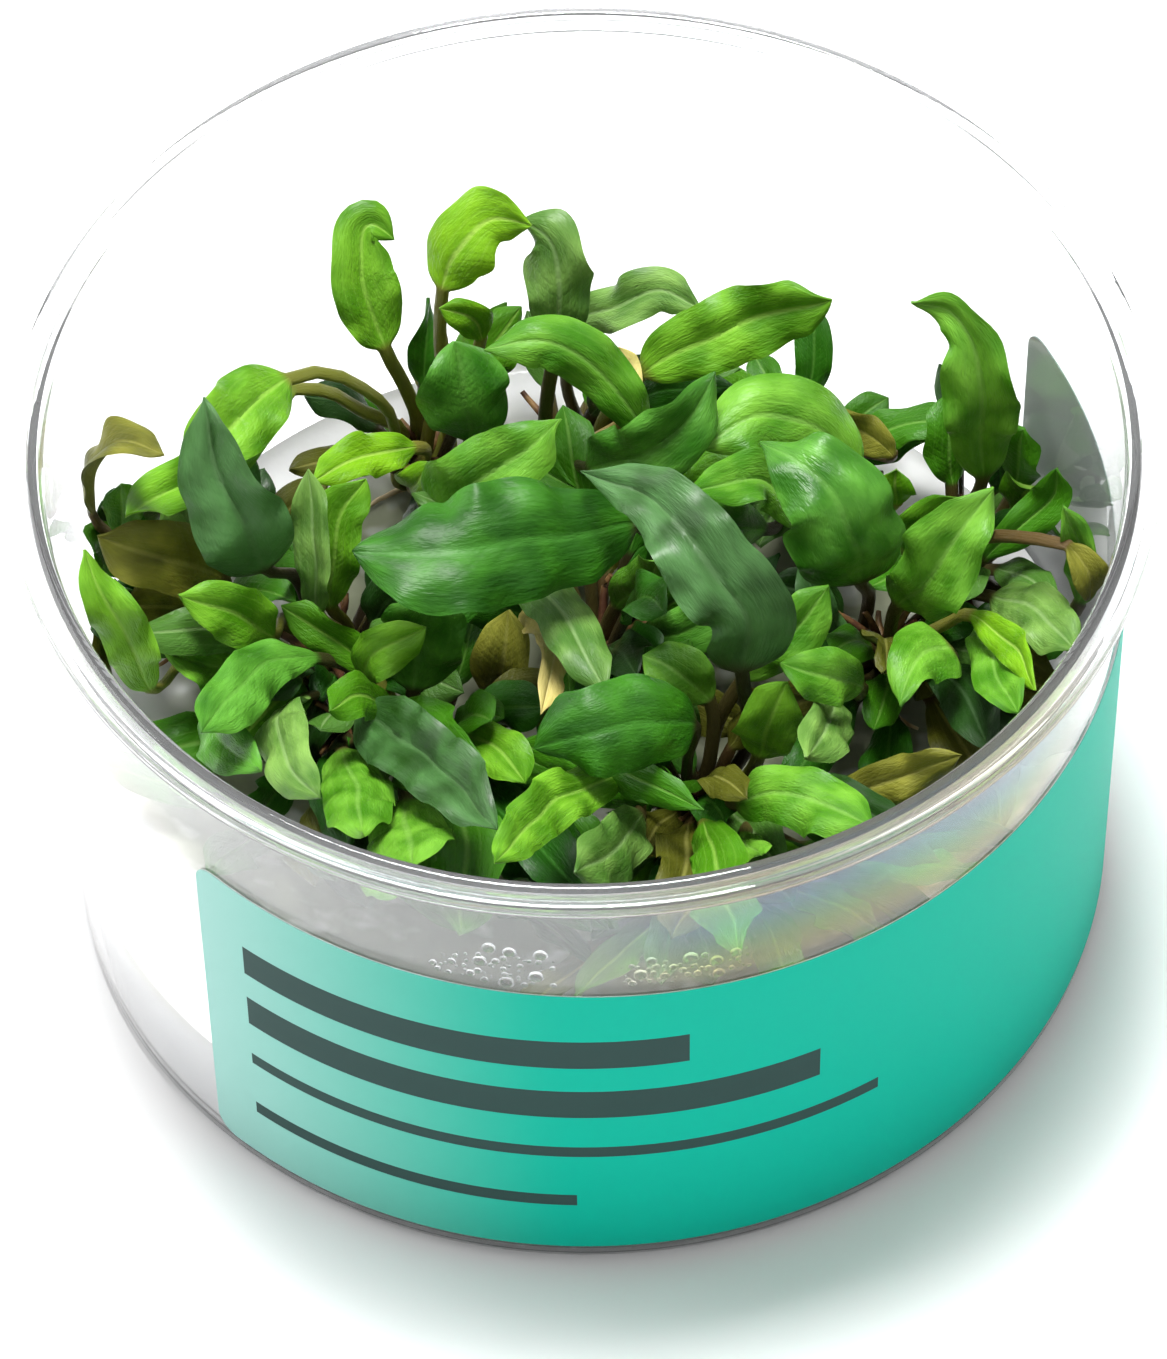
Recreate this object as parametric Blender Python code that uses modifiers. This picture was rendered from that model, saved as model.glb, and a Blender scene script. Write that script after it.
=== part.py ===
"""Cryptocoryne wendtii in a clear tissue culture cup.

Units are metres. The origin is at the middle of the cup's flat base, +Z is up, and the label's front
faces -Y.
"""

from collections import namedtuple
from math import atan2, cos, exp, hypot, pi, radians, sin, sqrt
from random import Random

import bmesh
import bpy
from mathutils import Matrix, Vector
from mathutils.bvhtree import BVHTree

MM = 0.001

# Cup, in millimetres
CUP_HEIGHT = 57.0
RIM_RADIUS = 50.0
RIM_INNER_RADIUS = 47.5
RIM_LIP_HEIGHT = 1.6
RIM_LIP_THICKNESS = 0.8
FLANGE_THICKNESS = 1.1
WALL_TOP_RADIUS = 47.6
WALL_BASE_RADIUS = 45.6
WALL_THICKNESS = 0.9
FLOOR_THICKNESS = 1.2
CUP_SIDES = 44

# Label, in millimetres and degrees, with the angle counted from the front towards +X
LABEL_START = -46.0
LABEL_END = 122.0
LABEL_LOW = 2.6
LABEL_HIGH = 40.4
LABEL_END_RISE = 1.6
LABEL_CORNER = 2.2
LABEL_THICKNESS = 0.2
LABEL_COLUMNS = 20

# Gel and crowns, in millimetres
GAP = 0.3
GEL_TOP = 13.0
GEL_MENISCUS = 0.7
GEL_SIDES = 24
POCKET_FLOOR = 3.8
CROWN_FOOT = 4.4
CROWN_TOP = 17.3
CROWN_RADIUS = 1.2
CROWN_SIDES = 6
ROOT_RADIUS = 0.35
ROOT_REST = 13.7
ROOT_RISE = 0.6

# Leaves, in millimetres
STALK_WIDTH = 1.3
STALK_THICKNESS = 1.1
BLADE_THICKNESS = 0.45
TIP_WIDTH = 0.7
FULLNESS = 1.08
TAPER = 1.5
LEAF_GAP = 0.2
FOOT_RADIUS = 2.7
FOOT_HEIGHT = 16.0
LEAF_LOW = 14.9
LEAF_HIGH = 50.4
WAVES_PER_BLADE = 1.6
WAVE_SHIFT = 0.37
PULL_OF_LIGHT = 0.3

# The side from which the light came while the plants grew, which the blades open towards
LIGHT = Vector((0.0, -0.6268, 0.7792))
ASIDE = Vector((1.0, 0.0, 0.0))
AWAY = Vector((0.0, 0.7792, 0.6268))

# How a leaf may be eased to make room for its neighbours: degrees round its plant, and millimetres towards
# the light at its neck, tip and middle, aside at its neck and tip, and away from the light at its neck
Ease = namedtuple("Ease", "turn near far bow near_side far_side near_away")
EASE_WEIGHTS = Ease(0.0006, 0.05, 0.05, 0.08, 0.12, 0.4, 0.12)
EASE_SIZES = Ease(12.0, 1.0, 1.0, 1.0, 0.4, 0.4, 0.4)
GROWTH_SEED = 11
GROWTH_STEPS = 20000
MOST_TOUCHES = 12

# Rows of a grown leaf and of a young one
STALK_ROWS = (3, 2)
BLADE_ROWS = (6, 3)

# Leaf colours and roughness
LEAF_FINISH = {
    "fresh": ("5FA32C", 0.4),
    "lime": ("93B83A", 0.4),
    "mid": ("3F7F30", 0.4),
    "deep": ("1E5A1C", 0.35),
    "gloss": ("1A5E1A", 0.25),
    "grey": ("6B8A60", 0.45),
    "dusk": ("4C5E52", 0.35),
    "olive": ("747A36", 0.45),
    "straw": ("C2BE72", 0.5),
}

# Where each plantlet stands, x and y in millimetres
CROWNS = {
    "back_left": (-14.5, 31),
    "back": (-2, 32.5),
    "back_right": (19, 28),
    "right_rear": (33, 18.5),
    "far_left": (-35.5, 15.5),
    "left": (-22.5, 8.5),
    "left_front": (-21.5, 2),
    "centre": (1, 10),
    "right": (26.5, 8.5),
    "front_left": (-14, -0.5),
    "front_right": (9.5, -7),
}

# Headings in degrees from +X and lengths in millimetres of the roots that lie on the gel
ROOTS = {
    "back_left": ((200, 7),),
    "back": ((30, 7),),
    "back_right": ((80, 8),),
    "right_rear": ((45, 6),),
    "far_left": ((240, 6),),
    "left": ((150, 7),),
    "left_front": ((300, 7),),
    "centre": ((350, 8),),
    "right": ((260, 8),),
    "front_left": ((280, 8),),
    "front_right": ((310, 8),),
}

# A leaf: the plantlet that it grows from, whether it is young and still part of the crown, its finish, its
# blade's width in millimetres, where it is widest from 0 at the neck to 1 at the tip, how blunt it is, its
# roll in degrees at the neck and at the tip, how steeply its halves fold up from the midrib, the height of
# its waves in millimetres, how many of the points are its stalk's, and the points that its midrib is drawn
# through, in millimetres
Leaf = namedtuple("Leaf", "crown young finish width fullest blunt roll curl fold wave stalk_points points")

LEAVES = (
    Leaf("back_left", False, "fresh", 6.2, 0.45, 0.85, -15, -10, 0.35, 0.35, 2,
         ((-15, 29.5, 24), (-16, 27.5, 31), (-17.5, 26, 38), (-18.5, 27, 42), (-19.5, 29, 46),
          (-18.5, 31.5, 49), (-16.5, 31, 48))),
    Leaf("back_left", False, "lime", 7.2, 0.45, 0.9, 0, 0, -0.25, 0.25, 2,
         ((-13, 30.5, 26), (-13, 29.5, 35), (-12.5, 29.5, 41), (-11.5, 30.5, 45), (-8, 32, 48.5),
          (-4, 31.5, 49))),
    Leaf("back_left", False, "deep", 8, 0.5, 0.7, 10, 0, -0.2, 0.3, 1,
         ((-11.5, 23, 27), (-10, 19.5, 34), (-10.5, 19.5, 40), (-11, 22.5, 44))),
    Leaf("back_left", False, "mid", 7.4, 0.35, 0.8, 0, 0, 0.15, 0.4, 1,
         ((-14, 19.5, 27), (-13.5, 12, 35), (-9.5, 10, 41), (-5, 10.5, 44), (-1.5, 12, 46))),
    Leaf("back_left", False, "fresh", 6.6, 0.45, 0.8, 0, 0, 0.2, 0.2, 3,
         ((-16, 27, 30), (-18.5, 24.5, 36), (-22, 23, 40), (-25.5, 20.5, 42), (-29, 16.5, 43.5),
          (-32, 12.5, 43.5), (-35, 9.5, 42))),
    Leaf("back_left", False, "fresh", 5, 0.5, 0.8, 0, 0, 0.2, 0.2, 3,
         ((-15.5, 26.5, 26), (-19.5, 24.5, 32), (-22.5, 23.5, 36), (-25, 23, 37),
          (-30.5, 16.5, 37), (-35, 12, 38), (-40, 5, 42))),
    Leaf("back_left", True, "lime", 3.4, 0.5, 0.9, 20, 20, 0.2, 0.1, 1,
         ((-11.5, 29, 28), (-8, 28.5, 36), (-9.5, 28.5, 40), (-12, 28, 42))),
    Leaf("back_left", True, "lime", 4, 0.5, 0.8, 0, 0, 0.1, 0.1, 0,
         ((-15, 23.5, 28), (-19.5, 19.5, 32), (-24, 15, 34))),
    Leaf("back_left", True, "lime", 3.6, 0.5, 0.8, 0, 0, 0.1, 0.1, 0,
         ((-16.5, 23.5, 24), (-15.5, 17.5, 30), (-13.5, 16, 35))),
    Leaf("back", False, "grey", 6, 0.5, 0.6, 0, 0, -0.3, 0.2, 1,
         ((-1, 30.5, 27), (-0.5, 30, 35), (-0.5, 31, 42), (-2, 32.5, 46.5), (-4.5, 33, 48))),
    Leaf("back", False, "grey", 4.4, 0.5, 0.8, 10, 10, 0.1, 0.3, 1,
         ((-0.5, 30, 28), (0, 30, 35), (4, 28, 41), (7.5, 27.5, 44), (10.5, 25, 45))),
    Leaf("back", False, "mid", 5.2, 0.5, 0.8, 0, 0, -0.35, 0.2, 1,
         ((3, 24.5, 26), (5.5, 18.5, 35), (1.5, 20, 42), (-3, 21, 45.5), (-8.5, 20.5, 45))),
    Leaf("back", False, "deep", 6.6, 0.45, 0.8, 0, 0, 0.2, 0.4, 1,
         ((-0.5, 26, 24), (1, 17.5, 32), (6, 14, 39), (9, 14, 43), (11.5, 17, 46))),
    Leaf("back", False, "fresh", 6.6, 0.5, 0.6, 0, 0, 0.15, 0.15, 1,
         ((3.5, 26, 28), (6, 23, 37), (11.5, 23.5, 42), (17.5, 24, 45), (21.5, 25, 46))),
    Leaf("back", True, "straw", 3.6, 0.5, 0.7, 20, 20, 0.2, 0.1, 1,
         ((2.5, 26.5, 26), (5, 25, 31), (4.5, 25.5, 35), (4, 26.5, 38))),
    Leaf("back_right", False, "mid", 7, 0.5, 0.7, 0, 0, -0.2, 0.4, 0,
         ((23.5, 17.5, 32), (19.5, 18, 38), (15.5, 16.5, 41), (11, 11.5, 42))),
    Leaf("back_right", False, "mid", 5, 0.5, 0.8, 0, 0, 0.2, 0.3, 0,
         ((19, 15, 30), (15, 12.5, 38), (10, 6.5, 42))),
    Leaf("back_right", False, "deep", 4.6, 0.5, 0.8, 0, 0, 0.2, 0.2, 0,
         ((19, 12.5, 30), (13, 8.5, 36), (8, 8, 40))),
    Leaf("back_right", True, "olive", 3.4, 0.5, 0.8, 10, 10, 0.2, 0.1, 1,
         ((24.5, 24, 26), (27.5, 19.5, 31), (24.5, 20, 34), (21, 20.5, 36))),
    Leaf("back_right", True, "lime", 3.6, 0.5, 0.8, 0, 0, 0.1, 0.1, 1,
         ((23.5, 19, 22), (27.5, 14.5, 30), (27.5, 13, 34), (27.5, 13, 37))),
    Leaf("right_rear", False, "mid", 6.4, 0.5, 0.75, -10, 40, 0.3, 0.25, 1,
         ((33.5, 16, 24), (34.5, 15, 30), (34.5, 15, 37), (34.5, 15.5, 43), (34, 18, 48),
          (32.5, 20.5, 49), (29, 22.5, 48.5))),
    Leaf("right_rear", False, "grey", 5.4, 0.5, 0.7, 0, 0, -0.1, 0.2, 0,
         ((37, 6.5, 28), (40, 1.5, 32), (42.5, -4.5, 33))),
    Leaf("right_rear", True, "mid", 3.2, 0.5, 0.8, 40, 40, 0.2, 0.1, 1,
         ((39, 8.5, 22), (43, 0.5, 33), (43.5, 0, 40), (42, 1, 46))),
    Leaf("right_rear", True, "olive", 3, 0.5, 0.8, 20, 20, 0.2, 0.1, 2,
         ((36.5, 9, 33), (39.5, 4.5, 38), (42, 2, 40), (43.5, 0.5, 38), (43.5, 0.5, 34))),
    Leaf("right_rear", True, "fresh", 4.2, 0.5, 0.8, 0, 0, 0.2, 0.2, 0,
         ((28, 11, 28), (30.5, 9, 35), (33.5, 7, 40))),
    Leaf("far_left", False, "olive", 4.4, 0.5, 0.9, 40, 20, 0.3, 0.3, 1,
         ((-41, 10, 30), (-44, 6.5, 40), (-43.5, 7, 46), (-41, 8, 48.5), (-37, 7.5, 47.5))),
    Leaf("far_left", False, "fresh", 4.6, 0.5, 0.8, 0, 0, -0.1, 0.1, 1,
         ((-35, 7.5, 20), (-38, -4.5, 28), (-40, -5.5, 38), (-42.5, -4, 44), (-43.5, -2.5, 47))),
    Leaf("far_left", False, "olive", 6, 0.5, 0.75, 0, 0, 0.1, 0.2, 0,
         ((-33, 9, 27), (-38, 7, 33), (-43, 7, 37))),
    Leaf("far_left", False, "deep", 4.8, 0.5, 0.8, 0, 0, 0.1, 0.1, 1,
         ((-34, 6.5, 19), (-34, -1.5, 24), (-32.5, -9.5, 29), (-29.5, -16, 33))),
    Leaf("far_left", True, "olive", 4.4, 0.5, 0.75, 0, 0, 0.1, 0.2, 0,
         ((-34, 8, 22), (-37, 6, 27), (-40, 3.5, 32))),
    Leaf("far_left", True, "mid", 3.4, 0.4, 0.9, 0, 0, 0.1, 0.1, 0,
         ((-41, 9, 34), (-41, 9, 38), (-41.5, 9.5, 41))),
    Leaf("far_left", True, "grey", 4.6, 0.5, 0.75, 0, 0, 0.1, 0.2, 0,
         ((-34, 12.5, 26), (-35, 12.5, 31), (-36.5, 13, 35))),
    Leaf("left", False, "dusk", 7.6, 0.35, 0.85, 0, 0, 0.3, 0.15, 1,
         ((-25.5, 7.5, 26), (-28, 4.5, 32), (-29.5, 5, 38), (-31.5, 8, 43), (-33, 13.5, 48))),
    Leaf("left", False, "fresh", 5, 0.45, 0.9, 0, 0, 0.15, 0.1, 1,
         ((-26.5, 10, 21), (-27.5, 3.5, 27), (-31, 1.5, 33), (-35.5, 1, 36))),
    Leaf("left", False, "deep", 5.4, 0.6, 0.8, 0, 0, -0.2, 0.1, 1,
         ((-21, 4.5, 20), (-23.5, 0.5, 27), (-28, -4.5, 33), (-31, -10.5, 36), (-33.5, -15, 37))),
    Leaf("left", False, "grey", 5, 0.5, 0.8, 0, -30, -0.2, 0.1, 1,
         ((-24.5, 2.5, 20), (-25.5, -1, 24), (-28, -7.5, 29), (-27, -14, 32), (-24, -20, 34))),
    Leaf("left", False, "fresh", 4.8, 0.55, 0.7, 0, 0, 0.2, 0.1, 1,
         ((-22, 6.5, 22), (-23, 5.5, 26), (-22.5, 6.5, 33), (-21.5, 8.5, 37), (-19.5, 10.5, 40))),
    Leaf("left", False, "grey", 3.8, 0.5, 0.8, 30, 30, 0.3, 0.15, 1,
         ((-24.5, 6, 22), (-25.5, 6, 25), (-25, 8.5, 31), (-25, 14, 37))),
    Leaf("left", True, "mid", 4.6, 0.5, 0.75, 0, 0, 0.1, 0.2, 0,
         ((-29, 2.5, 20), (-33.5, 1.5, 25), (-37.5, -0.5, 30))),
    Leaf("left_front", False, "fresh", 4.4, 0.6, 0.7, 0, 0, 0.15, 0.1, 0,
         ((-21.5, 0, 24), (-19.5, -1, 30), (-15, -1.5, 34))),
    Leaf("left_front", False, "dusk", 7, 0.45, 0.8, 0, 0, 0.35, 0.15, 0,
         ((-21, -4.5, 27), (-17.5, -12.5, 33), (-13.5, -19.5, 37), (-8.5, -28.5, 40))),
    Leaf("left_front", False, "mid", 6.4, 0.5, 0.8, 0, 0, -0.3, 0.1, 0,
         ((-22, -8, 25), (-21.5, -16.5, 31), (-21, -27, 38))),
    Leaf("centre", False, "gloss", 10.2, 0.55, 0.65, 0, 0, -0.2, 0.15, 1,
         ((5.5, 8, 28), (4, 6.5, 38), (-2, 2, 42), (-11, -1, 44), (-20, 0, 43))),
    Leaf("centre", False, "grey", 4.8, 0.5, 0.6, 0, 0, -0.1, 0.15, 1,
         ((-2.5, 8.5, 25), (-5, 7.5, 29), (-1, -2.5, 34), (1.5, -9, 34))),
    Leaf("centre", True, "straw", 4, 0.4, 0.9, 0, 0, 0.1, 0.15, 1,
         ((-3.5, 9, 22), (-5.5, 6, 25), (-3.5, -2, 29), (-5, -7.5, 29))),
    Leaf("centre", True, "mid", 4.6, 0.5, 0.8, 0, 0, 0.1, 0.2, 0,
         ((1.5, 9.5, 24), (5, 7.5, 29), (7, 8, 31))),
    Leaf("centre", True, "deep", 4.6, 0.5, 0.75, 0, 0, 0.1, 0.1, 0,
         ((4.5, 7.5, 20), (10, 6.5, 24), (15.5, 7.5, 28))),
    Leaf("right", False, "deep", 10, 0.35, 0.8, 0, 0, -0.2, 0.3, 1,
         ((26, 6, 24), (25, 2.5, 32), (24, 1, 40), (22.5, 3, 44), (19.5, 6, 46), (16, 8.5, 46.5))),
    Leaf("right", False, "mid", 7, 0.45, 0.8, 0, 0, 0.2, 0.15, 0,
         ((27.5, 3, 30), (30.5, 0, 38), (33, 0.5, 43), (36, 3, 46.5))),
    Leaf("right", False, "mid", 6.2, 0.25, 0.9, 0, 0, -0.2, 0.15, 1,
         ((31.5, -1.5, 24), (31.5, -5, 34), (28.5, -9, 38), (26.5, -15, 39))),
    Leaf("right", False, "mid", 4.4, 0.5, 0.8, 0, 0, 0.15, 0.1, 1,
         ((31.5, 5.5, 22), (34.5, 0, 30), (35.5, -8, 35), (37.5, -16, 39))),
    Leaf("right", False, "mid", 4.8, 0.5, 0.75, 0, 0, 0.1, 0.15, 1,
         ((26, -4, 27), (25, -8, 33), (21, -10, 37), (16, -10, 39))),
    Leaf("right", False, "grey", 4.8, 0.5, 0.75, 10, 10, 0.1, 0.4, 1,
         ((23.5, 4, 20), (23, -2.5, 25), (21, -10, 30), (17.5, -15, 32))),
    Leaf("right", True, "lime", 3.2, 0.5, 0.8, 0, 0, 0.15, 0.1, 1,
         ((30, 4.5, 26), (32.5, -1, 34), (36, -7, 38), (38.5, -15, 41))),
    Leaf("right", True, "dusk", 3.8, 0.5, 0.75, 0, 0, 0.1, 0.1, 0,
         ((23.5, 7, 20), (20.5, 5.5, 25), (19, 8.5, 30))),
    Leaf("front_left", False, "deep", 7.4, 0.5, 0.7, 0, 0, -0.1, 0.1, 0,
         ((-13.5, -2.5, 24), (-13.5, -2, 30), (-13, 1.5, 34))),
    Leaf("front_left", False, "mid", 7.6, 0.5, 0.7, 0, 0, -0.3, 0.1, 1,
         ((-16, -5.5, 20), (-16, -15, 27), (-16, -24, 34), (-15.5, -32, 40))),
    Leaf("front_left", True, "fresh", 4.4, 0.5, 0.75, 0, 0, 0.1, 0.15, 0,
         ((-13, -4, 22), (-9, -9.5, 27), (-5.5, -16, 30))),
    Leaf("front_left", True, "olive", 5, 0.5, 0.75, 0, 0, 0.1, 0.1, 0,
         ((-8.5, 2, 19), (-7.5, 2.5, 24), (-7, 5, 28))),
    Leaf("front_right", False, "dusk", 8, 0.3, 0.8, 0, 0, 0.2, 0.2, 2,
         ((13, -9, 23), (13, -11, 31), (12.5, -11.5, 38), (13, -10.5, 45), (9, -6.5, 49.5),
          (5, 0, 49), (-1, 6, 46))),
    Leaf("front_right", False, "gloss", 8.2, 0.5, 0.65, 0, 0, -0.3, 0.15, 1,
         ((8.5, -9, 24), (9, -12, 33), (5.5, -15.5, 38), (0, -17.5, 39.5), (-5, -17.5, 37))),
    Leaf("front_right", False, "fresh", 5.2, 0.5, 0.7, 0, 0, 0.1, 0.1, 1,
         ((13.5, -7, 20), (14.5, -9, 25), (15.5, -10, 31), (17.5, -9, 35))),
    Leaf("front_right", False, "mid", 6, 0.45, 0.8, 0, 0, -0.2, 0.1, 1,
         ((11.5, -10.5, 20), (13, -17, 28), (15.5, -19, 32), (20, -23.5, 36), (24, -28, 39))),
    Leaf("front_right", False, "fresh", 4.8, 0.5, 0.65, 0, 0, 0.15, 0.15, 1,
         ((6, -10, 22), (2.5, -16.5, 30), (-2, -22.5, 36), (-6.5, -30, 42), (-9.5, -37, 46.5))),
    Leaf("front_right", False, "grey", 5.6, 0.5, 0.75, 0, 0, -0.1, 0.3, 1,
         ((4.5, -8.5, 20), (4, -14.5, 25), (2.5, -22, 30), (-1.5, -31, 37))),
    Leaf("front_right", False, "mid", 5, 0.5, 0.8, 0, 0, 0.2, 0.1, 1,
         ((12.5, -5.5, 25), (14, -4, 29), (17, -3, 34), (20, 0, 37))),
    Leaf("front_right", True, "olive", 4, 0.5, 0.8, 0, 0, 0.1, 0.2, 1,
         ((15, -10.5, 20), (20.5, -15, 26), (25.5, -16.5, 31), (32, -18, 36))),
    Leaf("front_right", True, "mid", 5, 0.5, 0.8, 0, 0, 0.1, 0.2, 1,
         ((11, -5.5, 22), (11, -4, 26), (8.5, -3.5, 29), (5.5, -2, 30))),
    Leaf("front_right", True, "mid", 3.6, 0.5, 0.9, 0, 0, -0.1, 0.1, 1,
         ((13.5, -9.5, 19), (13, -19.5, 27), (14, -24, 31), (15.5, -27, 34))),
    Leaf("front_right", True, "deep", 4.4, 0.5, 0.75, 0, 0, 0.1, 0.1, 0,
         ((9, -7, 20), (6.5, -0.5, 22), (9, 3, 26))),
)

Row = namedtuple("Row", "left middle right face thickness share")
Room = namedtuple("Room", "crown young tree low high outside")


def millimetres(x, y, z):
    """A place given in millimetres, in metres."""
    return Vector((x, y, z)) * MM


def clamp(value, low, high):
    return min(max(value, low), high)


class Curve:
    """A smooth line through points, measured along the straight lines between them."""

    def __init__(self, points):
        self.points = points
        steps = [b - a for a, b in zip(points, points[1:])]
        lengths = [step.length for step in steps]
        slopes = [step / length for step, length in zip(steps, lengths)]
        self.marks = [sum(lengths[:i]) for i in range(len(points))]
        self.slopes = [slopes[0]]
        for i in range(1, len(slopes)):
            blend = slopes[i - 1] * lengths[i] + slopes[i] * lengths[i - 1]
            self.slopes.append(blend / (lengths[i - 1] + lengths[i]))
        self.slopes.append(slopes[-1])

    def at(self, distance):
        i = 0
        while i < len(self.marks) - 2 and self.marks[i + 1] <= distance:
            i += 1
        span = self.marks[i + 1] - self.marks[i]
        t = clamp((distance - self.marks[i]) / span, 0.0, 1.0)
        start = self.points[i] * (2 * t**3 - 3 * t**2 + 1) + self.slopes[i] * span * (t**3 - 2 * t**2 + t)
        end = self.points[i + 1] * (3 * t**2 - 2 * t**3) + self.slopes[i + 1] * span * (t**3 - t**2)
        return start + end


# Materials


def linear(channel):
    """One sRGB channel, 0 to 255, as a linear value."""
    value = channel / 255
    return value / 12.92 if value <= 0.04045 else ((value + 0.055) / 1.055) ** 2.4


def set_material(piece, colour, roughness, transmission=0.0, ior=1.45):
    material = bpy.data.materials.new(f"{piece.name}_material")
    material.use_nodes = True
    shader = material.node_tree.nodes["Principled BSDF"]
    rgb = [linear(channel) for channel in bytes.fromhex(colour)]
    shader.inputs["Base Color"].default_value = (*rgb, 1.0)
    shader.inputs["Metallic"].default_value = 0.0
    shader.inputs["Roughness"].default_value = roughness
    shader.inputs["Transmission Weight"].default_value = transmission
    shader.inputs["IOR"].default_value = ior
    material.diffuse_color = (*rgb, 1.0)
    piece.data.materials.append(material)


# Making objects


def clear_scene():
    for item in list(bpy.data.objects):
        bpy.data.objects.remove(item, do_unlink=True)


def new_collection(name):
    collection = bpy.data.collections.new(name)
    bpy.context.scene.collection.children.link(collection)
    return collection


def new_object(name, shape, collection):
    """An object made from a bmesh, which is freed."""
    mesh = bpy.data.meshes.new(name)
    shape.to_mesh(mesh)
    shape.free()
    piece = bpy.data.objects.new(name, mesh)
    collection.objects.link(piece)
    return piece


def hide_cutter(piece):
    piece.hide_render = True
    piece.display_type = "WIRE"


def turned(name, profile, sides, collection):
    """A solid turned about Z from a profile of radii and heights in millimetres."""
    shape = bmesh.new()
    corners = [shape.verts.new(millimetres(radius, 0.0, height)) for radius, height in profile]
    for first, second in zip(corners, corners[1:]):
        shape.edges.new((first, second))
    piece = new_object(name, shape, collection)
    turn = piece.modifiers.new("turn", "SCREW")
    turn.angle = 2 * pi
    turn.steps = sides
    turn.render_steps = sides
    turn.use_merge_vertices = True
    turn.merge_threshold = 0.00001
    return piece


def boolean(piece, operation, other, solver="EXACT"):
    modifier = piece.modifiers.new(f"{operation.lower()}_{other.name}", "BOOLEAN")
    modifier.operation = operation
    modifier.solver = solver
    modifier.object = other


# Cup, label and gel


def wall_radius(height):
    """Outer radius of the cup's wall at a height, both in millimetres."""
    return WALL_BASE_RADIUS + (WALL_TOP_RADIUS - WALL_BASE_RADIUS) * height / CUP_HEIGHT


def inner_radius(height):
    return wall_radius(height) - WALL_THICKNESS


def make_cup(collection):
    under_flange = CUP_HEIGHT - FLANGE_THICKNESS
    lip_low = CUP_HEIGHT - RIM_LIP_HEIGHT
    inside_floor_edge = FLOOR_THICKNESS + 1.2
    profile = (
        (0.0, FLOOR_THICKNESS),
        (inner_radius(FLOOR_THICKNESS) - 1.0, FLOOR_THICKNESS),
        (inner_radius(inside_floor_edge), inside_floor_edge),
        (inner_radius(under_flange), under_flange),
        (RIM_INNER_RADIUS, CUP_HEIGHT),
        (RIM_RADIUS, CUP_HEIGHT),
        (RIM_RADIUS, lip_low),
        (RIM_RADIUS - RIM_LIP_THICKNESS, lip_low),
        (RIM_RADIUS - RIM_LIP_THICKNESS, under_flange),
        (wall_radius(under_flange), under_flange),
        (wall_radius(1.0), 1.0),
        (wall_radius(0.0) - 1.0, 0.0),
        (0.0, 0.0),
    )
    cup = turned("cup", profile, CUP_SIDES, collection)
    set_material(cup, "F2F4F5", 0.05, transmission=1.0, ior=1.59)


def make_label(collection):
    """A film bent round the wall, with rounded corners and ends that rise a little."""
    shape = bmesh.new()
    bmesh.ops.create_grid(shape, x_segments=LABEL_COLUMNS, y_segments=1, size=0.5)
    half_length = radians(LABEL_END - LABEL_START) / 2 * wall_radius(LABEL_HIGH)
    middle = radians(LABEL_END + LABEL_START) / 2
    for corner in shape.verts:
        # The columns stand closer together towards both ends, where the corners are
        across = sin(corner.co.x * pi)
        along = half_length * across
        into_corner = clamp(LABEL_CORNER - half_length + abs(along), 0.0, LABEL_CORNER)
        trim = LABEL_CORNER - sqrt(LABEL_CORNER**2 - into_corner**2)
        rise = LABEL_END_RISE * across**2
        if corner.co.y > 0:
            height = LABEL_HIGH - trim + rise
        else:
            height = LABEL_LOW + trim
        angle = middle + along / wall_radius(LABEL_HIGH)
        radius = wall_radius(height) + GAP + LABEL_THICKNESS / 2
        corner.co = millimetres(radius * sin(angle), -radius * cos(angle), height)
    label = new_object("label", shape, collection)
    film = label.modifiers.new("film", "SOLIDIFY")
    film.thickness = LABEL_THICKNESS * MM
    film.offset = 0.0
    set_material(label, "12B592", 0.35)


def make_gel(collection, cutters):
    low = FLOOR_THICKNESS + GAP
    low_edge = low + 1.2
    edge = GEL_TOP + GEL_MENISCUS
    profile = (
        (0.0, GEL_TOP),
        (inner_radius(GEL_TOP) - GAP - 2.0, GEL_TOP),
        (inner_radius(edge) - GAP, edge),
        (inner_radius(low_edge) - GAP, low_edge),
        (inner_radius(low) - GAP - 1.2, low),
        (0.0, low),
    )
    gel = turned("gel", profile, GEL_SIDES, collection)
    pockets = bmesh.new()
    depth = GEL_TOP + 2.0 - POCKET_FLOOR
    for x, y in CROWNS.values():
        bmesh.ops.create_cone(
            pockets,
            cap_ends=True,
            segments=8,
            radius1=(CROWN_RADIUS + GAP) * MM,
            radius2=(CROWN_RADIUS + GAP) * MM,
            depth=depth * MM,
            matrix=Matrix.Translation(millimetres(x, y, POCKET_FLOOR + depth / 2)),
        )
    cutter = new_object("crown_pockets", pockets, cutters)
    hide_cutter(cutter)
    boolean(gel, "DIFFERENCE", cutter)
    set_material(gel, "E9EDE6", 0.15, transmission=0.9, ior=1.34)


# Leaves


def half_width(leaf, share):
    """Half the blade's width in millimetres, at a share of its length from the neck."""
    if share <= 0:
        return STALK_WIDTH / 2
    fullest = leaf.fullest
    t = clamp(share, 0.0, 1.0)
    rise = (t / fullest) ** fullest * ((1 - t) / (1 - fullest)) ** (1 - fullest)
    blade = leaf.width * FULLNESS / 2 * rise ** (leaf.blunt * TAPER)
    return max(blade, STALK_WIDTH / 2 * (1 - 3 * t), TIP_WIDTH / 2)


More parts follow.
